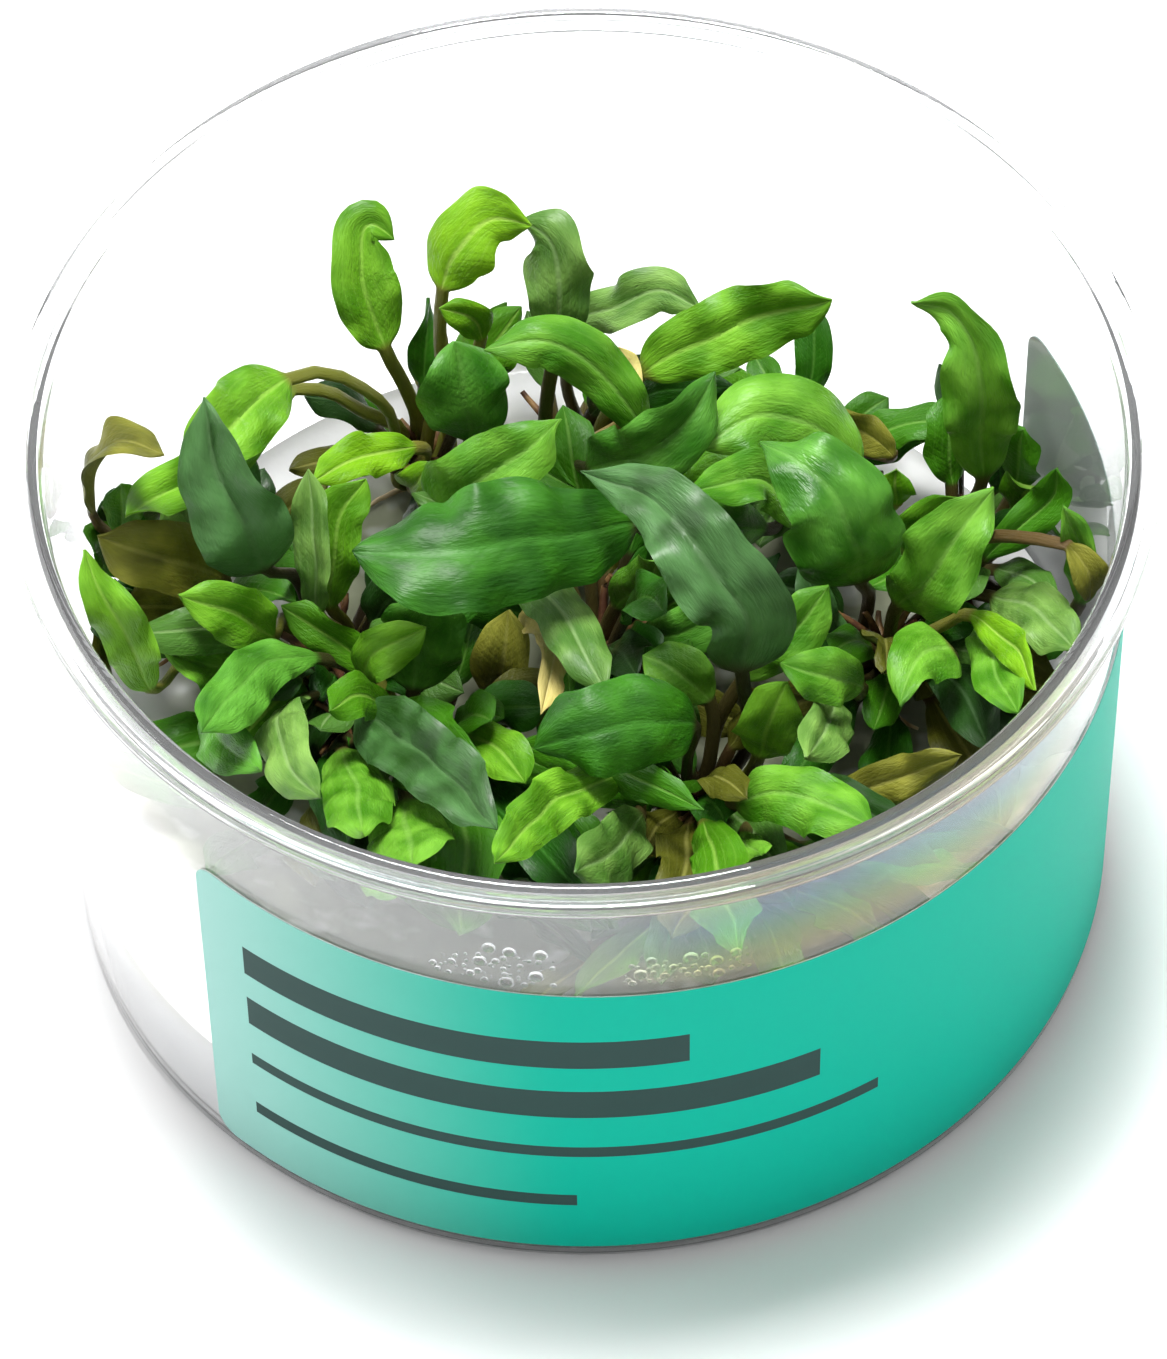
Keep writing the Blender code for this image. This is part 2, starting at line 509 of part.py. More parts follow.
def midrib(leaf, ease):
    """The curve that the leaf's midrib follows from its foot beside the crown, or inside it when young."""
    x, y = CROWNS[leaf.crown]
    points = [Vector(point) for point in leaf.points]
    for i, point in enumerate(points):
        t = i / (len(points) - 1)
        point += LIGHT * (ease.near * (1 - t) + ease.far * t + ease.bow * 4 * t * (1 - t))
        point += ASIDE * (ease.near_side * (1 - t) + ease.far_side * t) + AWAY * ease.near_away * (1 - t)
    foot = Vector((x, y, FOOT_HEIGHT))
    if not leaf.young:
        heading = atan2(points[0].y - y, points[0].x - x) + radians(ease.turn)
        foot += Vector((cos(heading), sin(heading), 0.0)) * FOOT_RADIUS
    return Curve([foot] + points)


def upper_sides(alongs, start):
    """The direction that the upper side faces at each row, towards the light at the start row."""
    faces = list(alongs)
    for order in (range(start, len(alongs)), range(start - 1, -1, -1)):
        aim = LIGHT if start in order else faces[start]
        for i in order:
            aim = aim + LIGHT * PULL_OF_LIGHT
            aim = (aim - alongs[i] * aim.dot(alongs[i])).normalized()
            faces[i] = aim
    return faces


def leaf_rows(leaf, curve):
    """The leaf's cross rows from its foot to its tip, each with its two edges and its middle."""
    stalk_rows = min(STALK_ROWS[leaf.young], leaf.stalk_points + 2)
    blade_rows = BLADE_ROWS[leaf.young]
    neck = curve.marks[leaf.stalk_points + 1]
    end = curve.marks[-1]
    distances = [neck * i / stalk_rows for i in range(stalk_rows)]
    distances += [neck + (end - neck) * i / blade_rows for i in range(blade_rows + 1)]
    step = end * 0.001
    alongs = [(curve.at(distance + step) - curve.at(distance - step)).normalized() for distance in distances]
    across_light = [abs(along.dot(LIGHT)) for along in alongs[stalk_rows:]]
    faces = upper_sides(alongs, stalk_rows + across_light.index(min(across_light)))
    rows = []
    for distance, along, face in zip(distances, alongs, faces):
        share = clamp((distance - neck) / (end - neck), 0.0, 1.0)
        middle = curve.at(distance)
        side = along.cross(face)
        roll = radians(leaf.roll + (leaf.curl - leaf.roll) * share)
        across = side * cos(roll) + face * sin(roll)
        upward = face * cos(roll) - side * sin(roll)
        half = half_width(leaf, share)
        reach = across * half / sqrt(1 + leaf.fold**2)
        edges = []
        for sign, shift in ((-1, 0.0), (1, WAVE_SHIFT)):
            wave = leaf.wave * sin(2 * pi * (WAVES_PER_BLADE * share + shift))
            lift = min(3 * share, 1.0) * (leaf.fold * half + wave)
            edges.append(middle + sign * reach + upward * lift)
        thickness = STALK_THICKNESS + (BLADE_THICKNESS - STALK_THICKNESS) * min(4 * share, 1.0)
        rows.append(Row(edges[0], middle, edges[1], upward, thickness, share))
    return rows


def make_leaf(name, leaf, curve, collection):
    """A grid three points across, laid on the leaf's rows and made solid."""
    rows = leaf_rows(leaf, curve)
    shape = bmesh.new()
    bmesh.ops.create_grid(shape, x_segments=2, y_segments=len(rows) - 1, size=0.5)
    shares = []
    for corner in shape.verts:
        row = rows[round((corner.co.y + 0.5) * (len(rows) - 1))]
        place = (row.left, row.middle, row.right)[round(corner.co.x * 2 + 1)]
        corner.co = place * MM
        shares.append(row.share)
    piece = new_object(name, shape, collection)
    stalk = piece.vertex_groups.new(name="stalk")
    for index, share in enumerate(shares):
        stalk.add([index], max(1 - 4 * share, 0.0), "REPLACE")
    body = piece.modifiers.new("body", "SOLIDIFY")
    body.thickness = STALK_THICKNESS * MM
    body.offset = 0.0
    body.vertex_group = stalk.name
    body.thickness_vertex_group = BLADE_THICKNESS / STALK_THICKNESS
    colour, roughness = LEAF_FINISH[leaf.finish]
    set_material(piece, colour, roughness)
    return piece


# Room between the leaves


def rings_of(rows):
    """Rings of corners half a gap outside a leaf."""
    rings = []
    for row in rows:
        out = (row.right - row.left).normalized() * LEAF_GAP / 2
        up = row.face * (row.thickness + LEAF_GAP) / 2
        over = (row.left - out + up, row.middle + up, row.right + out + up)
        under = (row.right + out - up, row.middle - up, row.left - out - up)
        rings.append(over + under)
    return rings


def outside(corners):
    """How far corners reach out of the space over the gel and inside the cup, in millimetres in all."""
    total = 0.0
    for corner in corners:
        total += max(LEAF_LOW - corner.z, 0.0)
        total += max(corner.z - LEAF_HIGH, 0.0)
        total += max(hypot(corner.x, corner.y) - inner_radius(corner.z) + GAP / 2, 0.0)
    return total


def room_of(rings, crown, young):
    """The room that a closed body through rings of corners takes."""
    corners = [corner for ring in rings for corner in ring]
    count = len(rings[0])
    last = len(corners) - count
    faces = [tuple(range(count)), tuple(range(last, last + count))]
    for start in range(0, last, count):
        for j in range(count):
            k = (j + 1) % count
            faces.append((start + j, start + k, start + count + k, start + count + j))
    low = [min(corner[axis] for corner in corners) for axis in range(3)]
    high = [max(corner[axis] for corner in corners) for axis in range(3)]
    return Room(crown, young, BVHTree.FromPolygons(corners, faces), low, high, outside(corners))


def leaf_room(leaf, ease):
    return room_of(rings_of(leaf_rows(leaf, midrib(leaf, ease))), leaf.crown, leaf.young)


def crown_room(name):
    x, y = CROWNS[name]
    radius = CROWN_RADIUS + GAP / 2
    turns = [2 * pi * i / 12 for i in range(12)]
    outline = [Vector((x + radius * cos(turn), y + radius * sin(turn), 0.0)) for turn in turns]
    heights = (LEAF_LOW, CROWN_TOP + GAP)
    rings = [[corner + Vector((0.0, 0.0, height)) for corner in outline] for height in heights]
    return room_of(rings, name, True)


def touch(first, second):
    """How much two rooms run into each other. What is young on one plant may grow together."""
    if first.young and second.young and first.crown == second.crown:
        return 0.0
    for axis in range(3):
        if first.low[axis] > second.high[axis] or second.low[axis] > first.high[axis]:
            return 0.0
    return sqrt(min(len(first.tree.overlap(second.tree)), MOST_TOUCHES))


def touches_of(room, rooms, skip):
    found = {}
    for i, other in enumerate(rooms):
        amount = touch(room, other) if i != skip else 0.0
        if amount:
            found[i] = amount
    return found


def strain(ease):
    return sum(weight * amount**2 for weight, amount in zip(EASE_WEIGHTS, ease))


def new_ease(ease, chance):
    """The same leaf's easing, changed at random in one to three ways."""
    amounts = list(ease)
    if chance.random() < 0.2:
        keep = chance.random()
        amounts = [amount * keep for amount in amounts]
    size = chance.choice((0.6, 1.5, 3.0))
    for way in chance.sample(range(len(amounts)), chance.choice((1, 2, 3))):
        amounts[way] += chance.gauss(0.0, size * EASE_SIZES[way])
    return Ease(*amounts)


def grow(leaves):
    """The leaves' midribs, eased from where they are drawn until no leaf touches another or the cup."""
    chance = Random(GROWTH_SEED)
    eases = [Ease(0.0, 0.0, 0.0, 0.0, 0.0, 0.0, 0.0)] * len(leaves)
    rooms = [leaf_room(leaf, ease) for leaf, ease in zip(leaves, eases)]
    rooms += [crown_room(name) for name in CROWNS]
    touches = [touches_of(room, rooms, i) for i, room in enumerate(rooms)]
    for step in range(GROWTH_STEPS):
        age = step / GROWTH_STEPS
        crowded = [i for i in range(len(leaves)) if touches[i] or rooms[i].outside]
        i = chance.randrange(len(leaves))
        if crowded and chance.random() < 0.85:
            i = chance.choice(crowded)
            if chance.random() < 0.4:
                i = chance.choice([k for k, leaf in enumerate(leaves) if leaf.crown == leaves[i].crown])
        ease = new_ease(eases[i], chance)
        room = leaf_room(leaves[i], ease)
        found = touches_of(room, rooms, i)
        worse = sum(found.values()) - sum(touches[i].values()) + (room.outside - rooms[i].outside) / 2
        worse += (0.25 - 0.2 * age) * (strain(ease) - strain(eases[i]))
        heat = max(0.5 * (1 - age) ** 2, 0.2 if crowded else 0.02)
        if worse > 0 and chance.random() > exp(-worse / heat):
            continue
        for j in touches[i]:
            del touches[j][i]
        for j, amount in found.items():
            touches[j][i] = amount
        eases[i], rooms[i], touches[i] = ease, room, found
    return [midrib(leaf, ease) for leaf, ease in zip(leaves, eases)]


# Crowns


def make_root(name, x, y, heading, reach, collection):
    """A root that leaves a crown just above the gel and comes to rest on it."""
    away = Vector((cos(radians(heading)), sin(radians(heading)), 0.0))
    bends = ((0.0, ROOT_RISE), (0.6, ROOT_RISE), (1.0, 0.0))
    curve = bpy.data.curves.new(name, "CURVE")
    curve.dimensions = "3D"
    curve.bevel_depth = ROOT_RADIUS * MM
    curve.bevel_resolution = 0
    curve.use_fill_caps = True
    spline = curve.splines.new("POLY")
    spline.points.add(len(bends) - 1)
    for point, (share, rise) in zip(spline.points, bends):
        place = millimetres(x, y, ROOT_REST + rise) + away * reach * share * MM
        point.co = (*place, 1.0)
    drawn = bpy.data.objects.new(f"{name}_curve", curve)
    collection.objects.link(drawn)
    graph = bpy.context.evaluated_depsgraph_get()
    mesh = bpy.data.meshes.new_from_object(drawn.evaluated_get(graph))
    bpy.data.objects.remove(drawn, do_unlink=True)
    shape = bmesh.new()
    shape.from_mesh(mesh)
    bmesh.ops.remove_doubles(shape, verts=shape.verts, dist=0.000001)
    return new_object(name, shape, collection)


def make_crown(name, young_leaves, collection, cutters):
    """A short upright rhizome, joined to its roots and to the young leaves that still grow out of it."""
    x, y = CROWNS[name]
    profile = (
        (0.0, CROWN_TOP),
        (CROWN_RADIUS * 0.7, CROWN_TOP - 0.4),
        (CROWN_RADIUS, CROWN_TOP - 2.6),
        (CROWN_RADIUS * 0.5, CROWN_FOOT),
        (0.0, CROWN_FOOT),
    )
    crown = turned(f"crown_{name}", profile, CROWN_SIDES, collection)
    crown.location = millimetres(x, y, 0.0)
    joined = []
    for number, (heading, reach) in enumerate(ROOTS[name], start=1):
        joined.append(make_root(f"root_{name}_{number}", x, y, heading, reach, cutters))
    for number, (leaf, curve) in enumerate(young_leaves, start=1):
        joined.append(make_leaf(f"young_leaf_{name}_{number}", leaf, curve, cutters))
    for piece in joined:
        hide_cutter(piece)
        # Thin blades that cross at a shallow angle are more than the exact solver joins
        boolean(crown, "UNION", piece, solver="MANIFOLD")
    set_material(crown, "6E5A33", 0.55)


def main():
    clear_scene()
    collection = new_collection("tissue_culture_cup")
    cutters = new_collection("cutters")
    make_cup(collection)
    make_label(collection)
    make_gel(collection, cutters)
    curves = grow(LEAVES)
    for name in CROWNS:
        plant = [(leaf, curve) for leaf, curve in zip(LEAVES, curves) if leaf.crown == name]
        make_crown(name, [pair for pair in plant if pair[0].young], collection, cutters)
        grown = [pair for pair in plant if not pair[0].young]
        for number, (leaf, curve) in enumerate(grown, start=1):
            make_leaf(f"leaf_{name}_{number}", leaf, curve, collection)


if __name__ == "__main__":
    main()
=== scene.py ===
"""The finished look of a tissue culture cup of young cryptocoryne wendtii: its clear cup, wrap label, gel,
plantlets and drops, laid over their solids in the same frame, with a pale floor, soft light and a camera.

Lengths in the tables are millimetres. The origin is at the middle of the cup's flat base, +Z is up, and the
label's front faces -Y.
"""

from collections import namedtuple
from functools import cache
from math import atan2, cos, exp, hypot, pi, radians, sin, sqrt
from random import Random

import bmesh
import bpy
from mathutils import Matrix, Vector, noise
from mathutils.bvhtree import BVHTree


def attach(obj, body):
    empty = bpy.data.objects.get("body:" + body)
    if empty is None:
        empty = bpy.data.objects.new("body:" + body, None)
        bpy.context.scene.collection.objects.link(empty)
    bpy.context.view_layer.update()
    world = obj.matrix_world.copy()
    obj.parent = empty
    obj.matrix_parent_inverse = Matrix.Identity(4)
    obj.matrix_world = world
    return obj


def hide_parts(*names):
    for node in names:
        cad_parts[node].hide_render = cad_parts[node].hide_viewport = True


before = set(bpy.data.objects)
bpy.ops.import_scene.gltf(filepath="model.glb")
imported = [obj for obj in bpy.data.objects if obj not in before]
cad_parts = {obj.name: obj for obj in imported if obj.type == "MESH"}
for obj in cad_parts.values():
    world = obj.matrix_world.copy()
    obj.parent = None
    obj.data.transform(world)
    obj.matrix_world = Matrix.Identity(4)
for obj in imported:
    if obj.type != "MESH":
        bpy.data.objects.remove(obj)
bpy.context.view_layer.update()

bl_info = {
    "name": "Tissue culture cup",
    "version": (1, 0, 0),
    "blender": (4, 5, 0),
    "location": "3D View > Sidebar > Culture cup",
    "description": "Builds the finished cup, label, gel and young plants over their solids",
    "category": "Object",
}

MM = 0.001

# Cup, in millimetres
CUP_HEIGHT = 57.0
RIM_RADIUS = 50.0
RIM_INNER_RADIUS = 47.5
RIM_LIP_HEIGHT = 1.6
RIM_LIP_THICKNESS = 0.8
FLANGE_THICKNESS = 1.1
WALL_TOP_RADIUS = 47.6
WALL_BASE_RADIUS = 45.6
WALL_THICKNESS = 0.9
FLOOR_THICKNESS = 1.2

# Label, in millimetres and degrees, with the angle counted from the front towards +X
LABEL_START = -46.0
LABEL_END = 122.0
LABEL_LOW = 2.6
LABEL_HIGH = 40.4
LABEL_END_RISE = 1.6
LABEL_CORNER = 2.2
LABEL_THICKNESS = 0.2

# Gel and crowns, in millimetres
GAP = 0.3
GEL_TOP = 13.0
GEL_MENISCUS = 0.7
CROWN_FOOT = 4.4
CROWN_TOP = 17.3
CROWN_RADIUS = 1.2
ROOT_RADIUS = 0.35
ROOT_REST = 13.7

# Leaves, in millimetres
STALK_WIDTH = 1.3
STALK_THICKNESS = 1.1
BLADE_THICKNESS = 0.45
TIP_WIDTH = 0.7
FULLNESS = 1.08
TAPER = 1.5
LEAF_GAP = 0.2
FOOT_RADIUS = 2.7
FOOT_HEIGHT = 16.0
LEAF_LOW = 14.9
LEAF_HIGH = 50.4
WAVES_PER_BLADE = 1.6
WAVE_SHIFT = 0.37
PULL_OF_LIGHT = 0.3

# The side from which the light came while the plants grew, which the blades open towards
LIGHT = Vector((0.0, -0.6268, 0.7792))
ASIDE = Vector((1.0, 0.0, 0.0))
AWAY = Vector((0.0, 0.7792, 0.6268))

# How a leaf may be eased to make room for its neighbours: degrees round its plant, and millimetres towards
# the light at its neck, tip and middle, aside at its neck and tip, and away from the light at its neck
Ease = namedtuple("Ease", "turn near far bow near_side far_side near_away")
EASE_WEIGHTS = Ease(0.0006, 0.05, 0.05, 0.08, 0.12, 0.4, 0.12)
EASE_SIZES = Ease(12.0, 1.0, 1.0, 1.0, 0.4, 0.4, 0.4)
GROWTH_SEED = 11
GROWTH_STEPS = 20000
MOST_TOUCHES = 12

# Rows of a grown leaf and of a young one
STALK_ROWS = (3, 2)
BLADE_ROWS = (6, 3)

# How each leaf finish looks: its tissue in painted shade and in painted light, its veins, its stalk, its
# underside, how rough it is and how much wax shine lies over it
Tissue = namedtuple("Tissue", "shaded sunlit vein stalk back roughness wax")
TISSUES = {
    "fresh": Tissue("42780C", "7AB42C", "A4CC5C", "6C702A", "8CB04E", 0.42, 0.05),
    "lime": Tissue("4A800A", "78AC18", "BCD470", "7C7A32", "A0B85A", 0.42, 0.0),
    "mid": Tissue("38720C", "72AC34", "8AB858", "4F4824", "6E9650", 0.40, 0.1),
    "deep": Tissue("28600C", "60A036", "64983F", "38341C", "4E7C3C", 0.36, 0.15),
    "gloss": Tissue("184A03", "3A7C14", "4A8A32", "38341C", "487838", 0.46, 0.15),
    "grey": Tissue("446E26", "80A850", "9CB87C", "524A26", "80946A", 0.42, 0.2),
    "dusk": Tissue("1A3C0C", "4C7A40", "55744A", "30281A", "4C6044", 0.42, 0.35),
    "olive": Tissue("4F5214", "8A8A32", "A8A65A", "584626", "88864C", 0.45, 0.05),
    "straw": Tissue("AEA24A", "D8C880", "E2D8A2", "94804A", "C4BA7C", 0.5, 0.0),
}

# A blade's pattern: streaks across half of it and along it, how far apart its arched veins stand against half
# its width, and its cross veins along it and how far they lean
STREAKS_ACROSS = 2.8
STREAKS_ALONG = 4.0
VEIN_REPEAT = 0.165
TIES_ALONG = 40.0
TIES_LEAN = -9.0

# Finished blades: how thin they are in millimetres, how wide against their drawn width, how quickly they
# narrow towards the base and the tip, the share of their length in which they come to a point, how far their
# sides differ, how many degrees their tips twist, and how long their edge waves are. Then the length over
# which a bend is felt, and how much it narrows the side inside it
FINE_THICKNESS = 0.2
FINE_FULLNESS = 1.06
BASE_TAPER = 1.6
TIP_TAPER = 1.15
TIP_SHARE = 0.16
UNEVENNESS = 0.2
TIP_TWIST = 35.0
RUFFLE_LENGTH = 6.0
BEND_SPAN = 2.5
BEND_NARROWING = 1.2

# Their small flaws: how far a leaf's tone may differ, how ragged its edges are against its width, how far the
# midrib wanders in millimetres, how high its halves arch against their width, how deep its dents are and how
# deep the groove over the midrib is in millimetres
TONES = 0.22
EDGE_FLAWS = 0.07
MIDRIB_BENDS = 0.7
ARCH = 0.12
DENTS = 0.7
GROOVE = 0.10

# Where the stalk becomes the blade: the share of the blade in which it flattens, how much thinner a stalk is
# at its neck than at its foot, and half the midrib's width in millimetres
FLATTENING = 0.14
STALK_THINNING = 0.3
RIB_REACH = 0.4

# Faces across a finished blade's one side, and rows along its stalk and its blade; rows of its sheath; sides
# and rows of a crown and of a drop; sides of a root or an old stalk
Fineness = namedtuple("Fineness", "across stalk blade")
GROWN_MESH = Fineness(14, 9, 46)
SHOOT_MESH = Fineness(8, 5, 20)
SHEATH_ROWS = 4
CROWN_SIDES = 20
CROWN_ROWS = 26
DROP_SIDES = 12
DROP_ROWS = 5
TUBE_SIDES = 8

# Edges sharper than these many degrees stay crisp, on grown and on turned pieces
CRISP_GROWN = 60.0
CRISP_TURNED = 38.0

# Seeds of what grows by chance
SHOOT_SEED = 8
CROWN_SEED = 5
DROP_SEED = 11

# Fans of short leaves round the plantlets: how many, first and last heading in degrees from +X, then nearest
# and furthest reach and least and greatest rise in millimetres
Fan = namedtuple("Fan", "count first last near far low high")
ROUND_FAN = Fan(9, 0, 360, 6.0, 13.0, 5.0, 15.0)
WIDE_FANS = {
    "back_left": (Fan(6, 200, 330, 10, 18, 6, 16),),
    "back": (Fan(8, 230, 350, 10, 18, 6, 18),),
    "back_right": (Fan(8, 160, 300, 10, 18, 6, 18),),
    "right_rear": (Fan(8, 220, 400, 8, 15, 6, 20),),
    "far_left": (Fan(8, 180, 300, 10, 18, 5, 20),),
    "left": (Fan(8, 130, 260, 10, 19, 5, 18),),
    "left_front": (Fan(12, 200, 300, 12, 27, 4, 20),),
    "centre": (Fan(14, 0, 360, 10, 18, 5, 20),),
    "right": (Fan(14, 230, 380, 11, 25, 4, 22),),
    "front_left": (Fan(16, 215, 320, 12, 31, 4, 20),),
    "front_right": (Fan(24, 215, 345, 12, 35, 4, 22),),
}

# Short leaves: the finishes they take, how often each may be tried and how much painted shade deepens their
# tone, since they grow under the grown leaves. Then, in millimetres but for the sway, how far from the
# plantlet's middle they start, how far they sway against their reach, their least and greatest width, and how
# far they stay off the wall
SHOOT_FINISHES = ("deep", "mid", "deep", "olive", "mid", "grey", "gloss", "dusk", "fresh")
SHOOT_TRIES = 14
SHOOT_PAINTED_SHADE = 0.42
SHOOT_START = 1.5
SHOOT_SWAY = 0.18
SHOOT_WIDTHS = (2.6, 4.2)
SHOOT_MARGIN = 2.2

# Old stalks and sinking roots of each plantlet, and an old stalk's steps and thickest radius in millimetres
STUBS_PER_CROWN = 9
SINKING_ROOTS = 7
STUB_STEPS = 8
STUB_RADIUS = 0.5

# Roots: how much they turn at a step and at most in degrees, how far they stay off the wall in millimetres,
# and how many degrees they turn away from it
ROOT_TURN = 9.0
ROOT_MOST_TURN = 22.0
ROOT_MARGIN = 1.6
ROOT_TURN_AWAY = 25.0

# Label mesh, and its plain bars as lowest and highest height, start and end along the film in millimetres
LABEL_ROUND = 220
LABEL_UP = 12
LABEL_BARS = (
    (30.0, 34.0, 5.0, 46.0),
    (22.5, 26.5, 5.0, 58.0),
    (16.5, 18.0, 5.0, 64.0),
    (9.0, 10.6, 5.0, 36.0),
)

# A painted reflection whitens the print towards the label's start: where the print is full and where it is
# whitest along the film in millimetres, how far it whitens and to which colour; and the colour of the film's
# back
LABEL_REFLECTION_FROM = 36.0
LABEL_REFLECTION_MOST = -6.0
LABEL_REFLECTION_STRENGTH = 0.62
LABEL_REFLECTION_COLOUR = "BFD2D2"
LABEL_BACK_COLOUR = "F4FAF8"

# Painted shade under the plants darkens the gel within these radii in millimetres, from not at all to the
# most, and by this share
SHADE_EDGE = 43.0
SHADE_HEART = 33.0
SHADE_SHARE = 0.85

# Where the wall shows painted iridescence, stress colours that light brings out in the strained plastic:
# first and last angle in radians from the front, lowest and highest height in millimetres, and how strongly.
# Then how softly it ends, in radians and in millimetres, the colours from the lowest up, how often they come
# back in a metre of height and where they start, and how often and how far they wander round the wall
STRESS_AREAS = ((0.12, 1.0, 40.0, 56.0, 0.8), (-1.3, -0.85, 14.0, 46.0, 0.2))
STRESS_FADE = (0.2, 3.0)
STRESS_COLOURS = ("D2B47A", "DCD468", "BCE070", "98E0BC", "98D4F0", "B4C4F4", "F4F0FA")
STRESS_REPEATS = 68.0
STRESS_START = -2.78
STRESS_WAVES = 9.0
STRESS_WANDER = 0.05

# Patches of drops: first and last angle in degrees from the front, lowest and highest height in millimetres.
# Then how high a drop stands and how close to each other drops may be against their radius, and how far they
# sink into the wall in millimetres
DROP_PATCHES = ((-17.0, -4.0, 41.2, 46.5), (3.0, 17.0, 41.2, 45.5))
DROP_RISE = 0.75
DROP_CLOSENESS = 0.95
DROP_SUNK = 0.02

# Soft lights: name, place in metres, size in metres and share of the key light's power. Then the place in
# metres that they aim at, and the strength of the white sky
STUDIO_LIGHTS = (
    ("overhead", (-0.06, 0.2, 1.2), 0.42, 1.0),
    ("left_window", (-1.0, 0.35, 0.6), 0.7, 0.2),
    ("front_fill", (0.2, -1.2, 0.9), 1.0, 0.03),
)
LIGHTS_AIM = (0.0, 0.0, 0.03)
SKY_STRENGTH = 0.5

# The camera's place and aim in metres, and its roll in degrees
CAMERA_PLACE = (0.0, -0.783576, 1.030909)
CAMERA_AIM = (-0.000384, -0.000596, 0.025)
CAMERA_ROLL = -1.016

# Where each plantlet stands, x and y in millimetres
CROWNS = {
    "back_left": (-14.5, 31),
    "back": (-2, 32.5),
    "back_right": (19, 28),
    "right_rear": (33, 18.5),
    "far_left": (-35.5, 15.5),
    "left": (-22.5, 8.5),
    "left_front": (-21.5, 2),
    "centre": (1, 10),
    "right": (26.5, 8.5),
    "front_left": (-14, -0.5),
    "front_right": (9.5, -7),
}

# Headings in degrees from +X and lengths in millimetres of the roots that lie on the gel
ROOTS = {
    "back_left": ((200, 7),),
    "back": ((30, 7),),
    "back_right": ((80, 8),),
    "right_rear": ((45, 6),),
    "far_left": ((240, 6),),
    "left": ((150, 7),),
    "left_front": ((300, 7),),
    "centre": ((350, 8),),
    "right": ((260, 8),),
    "front_left": ((280, 8),),
    "front_right": ((310, 8),),
}

# A leaf: the plantlet that it grows from, whether it is young and still part of the crown, its finish, its
# blade's width in millimetres, where it is widest from 0 at the neck to 1 at the tip, how blunt it is, its
# roll in degrees at the neck and at the tip, how steeply its halves fold up from the midrib, the height of
# its waves in millimetres, how many of the points are its stalk's, and the points that its midrib is drawn
# through, in millimetres
Leaf = namedtuple("Leaf", "crown young finish width fullest blunt roll curl fold wave stalk_points points")

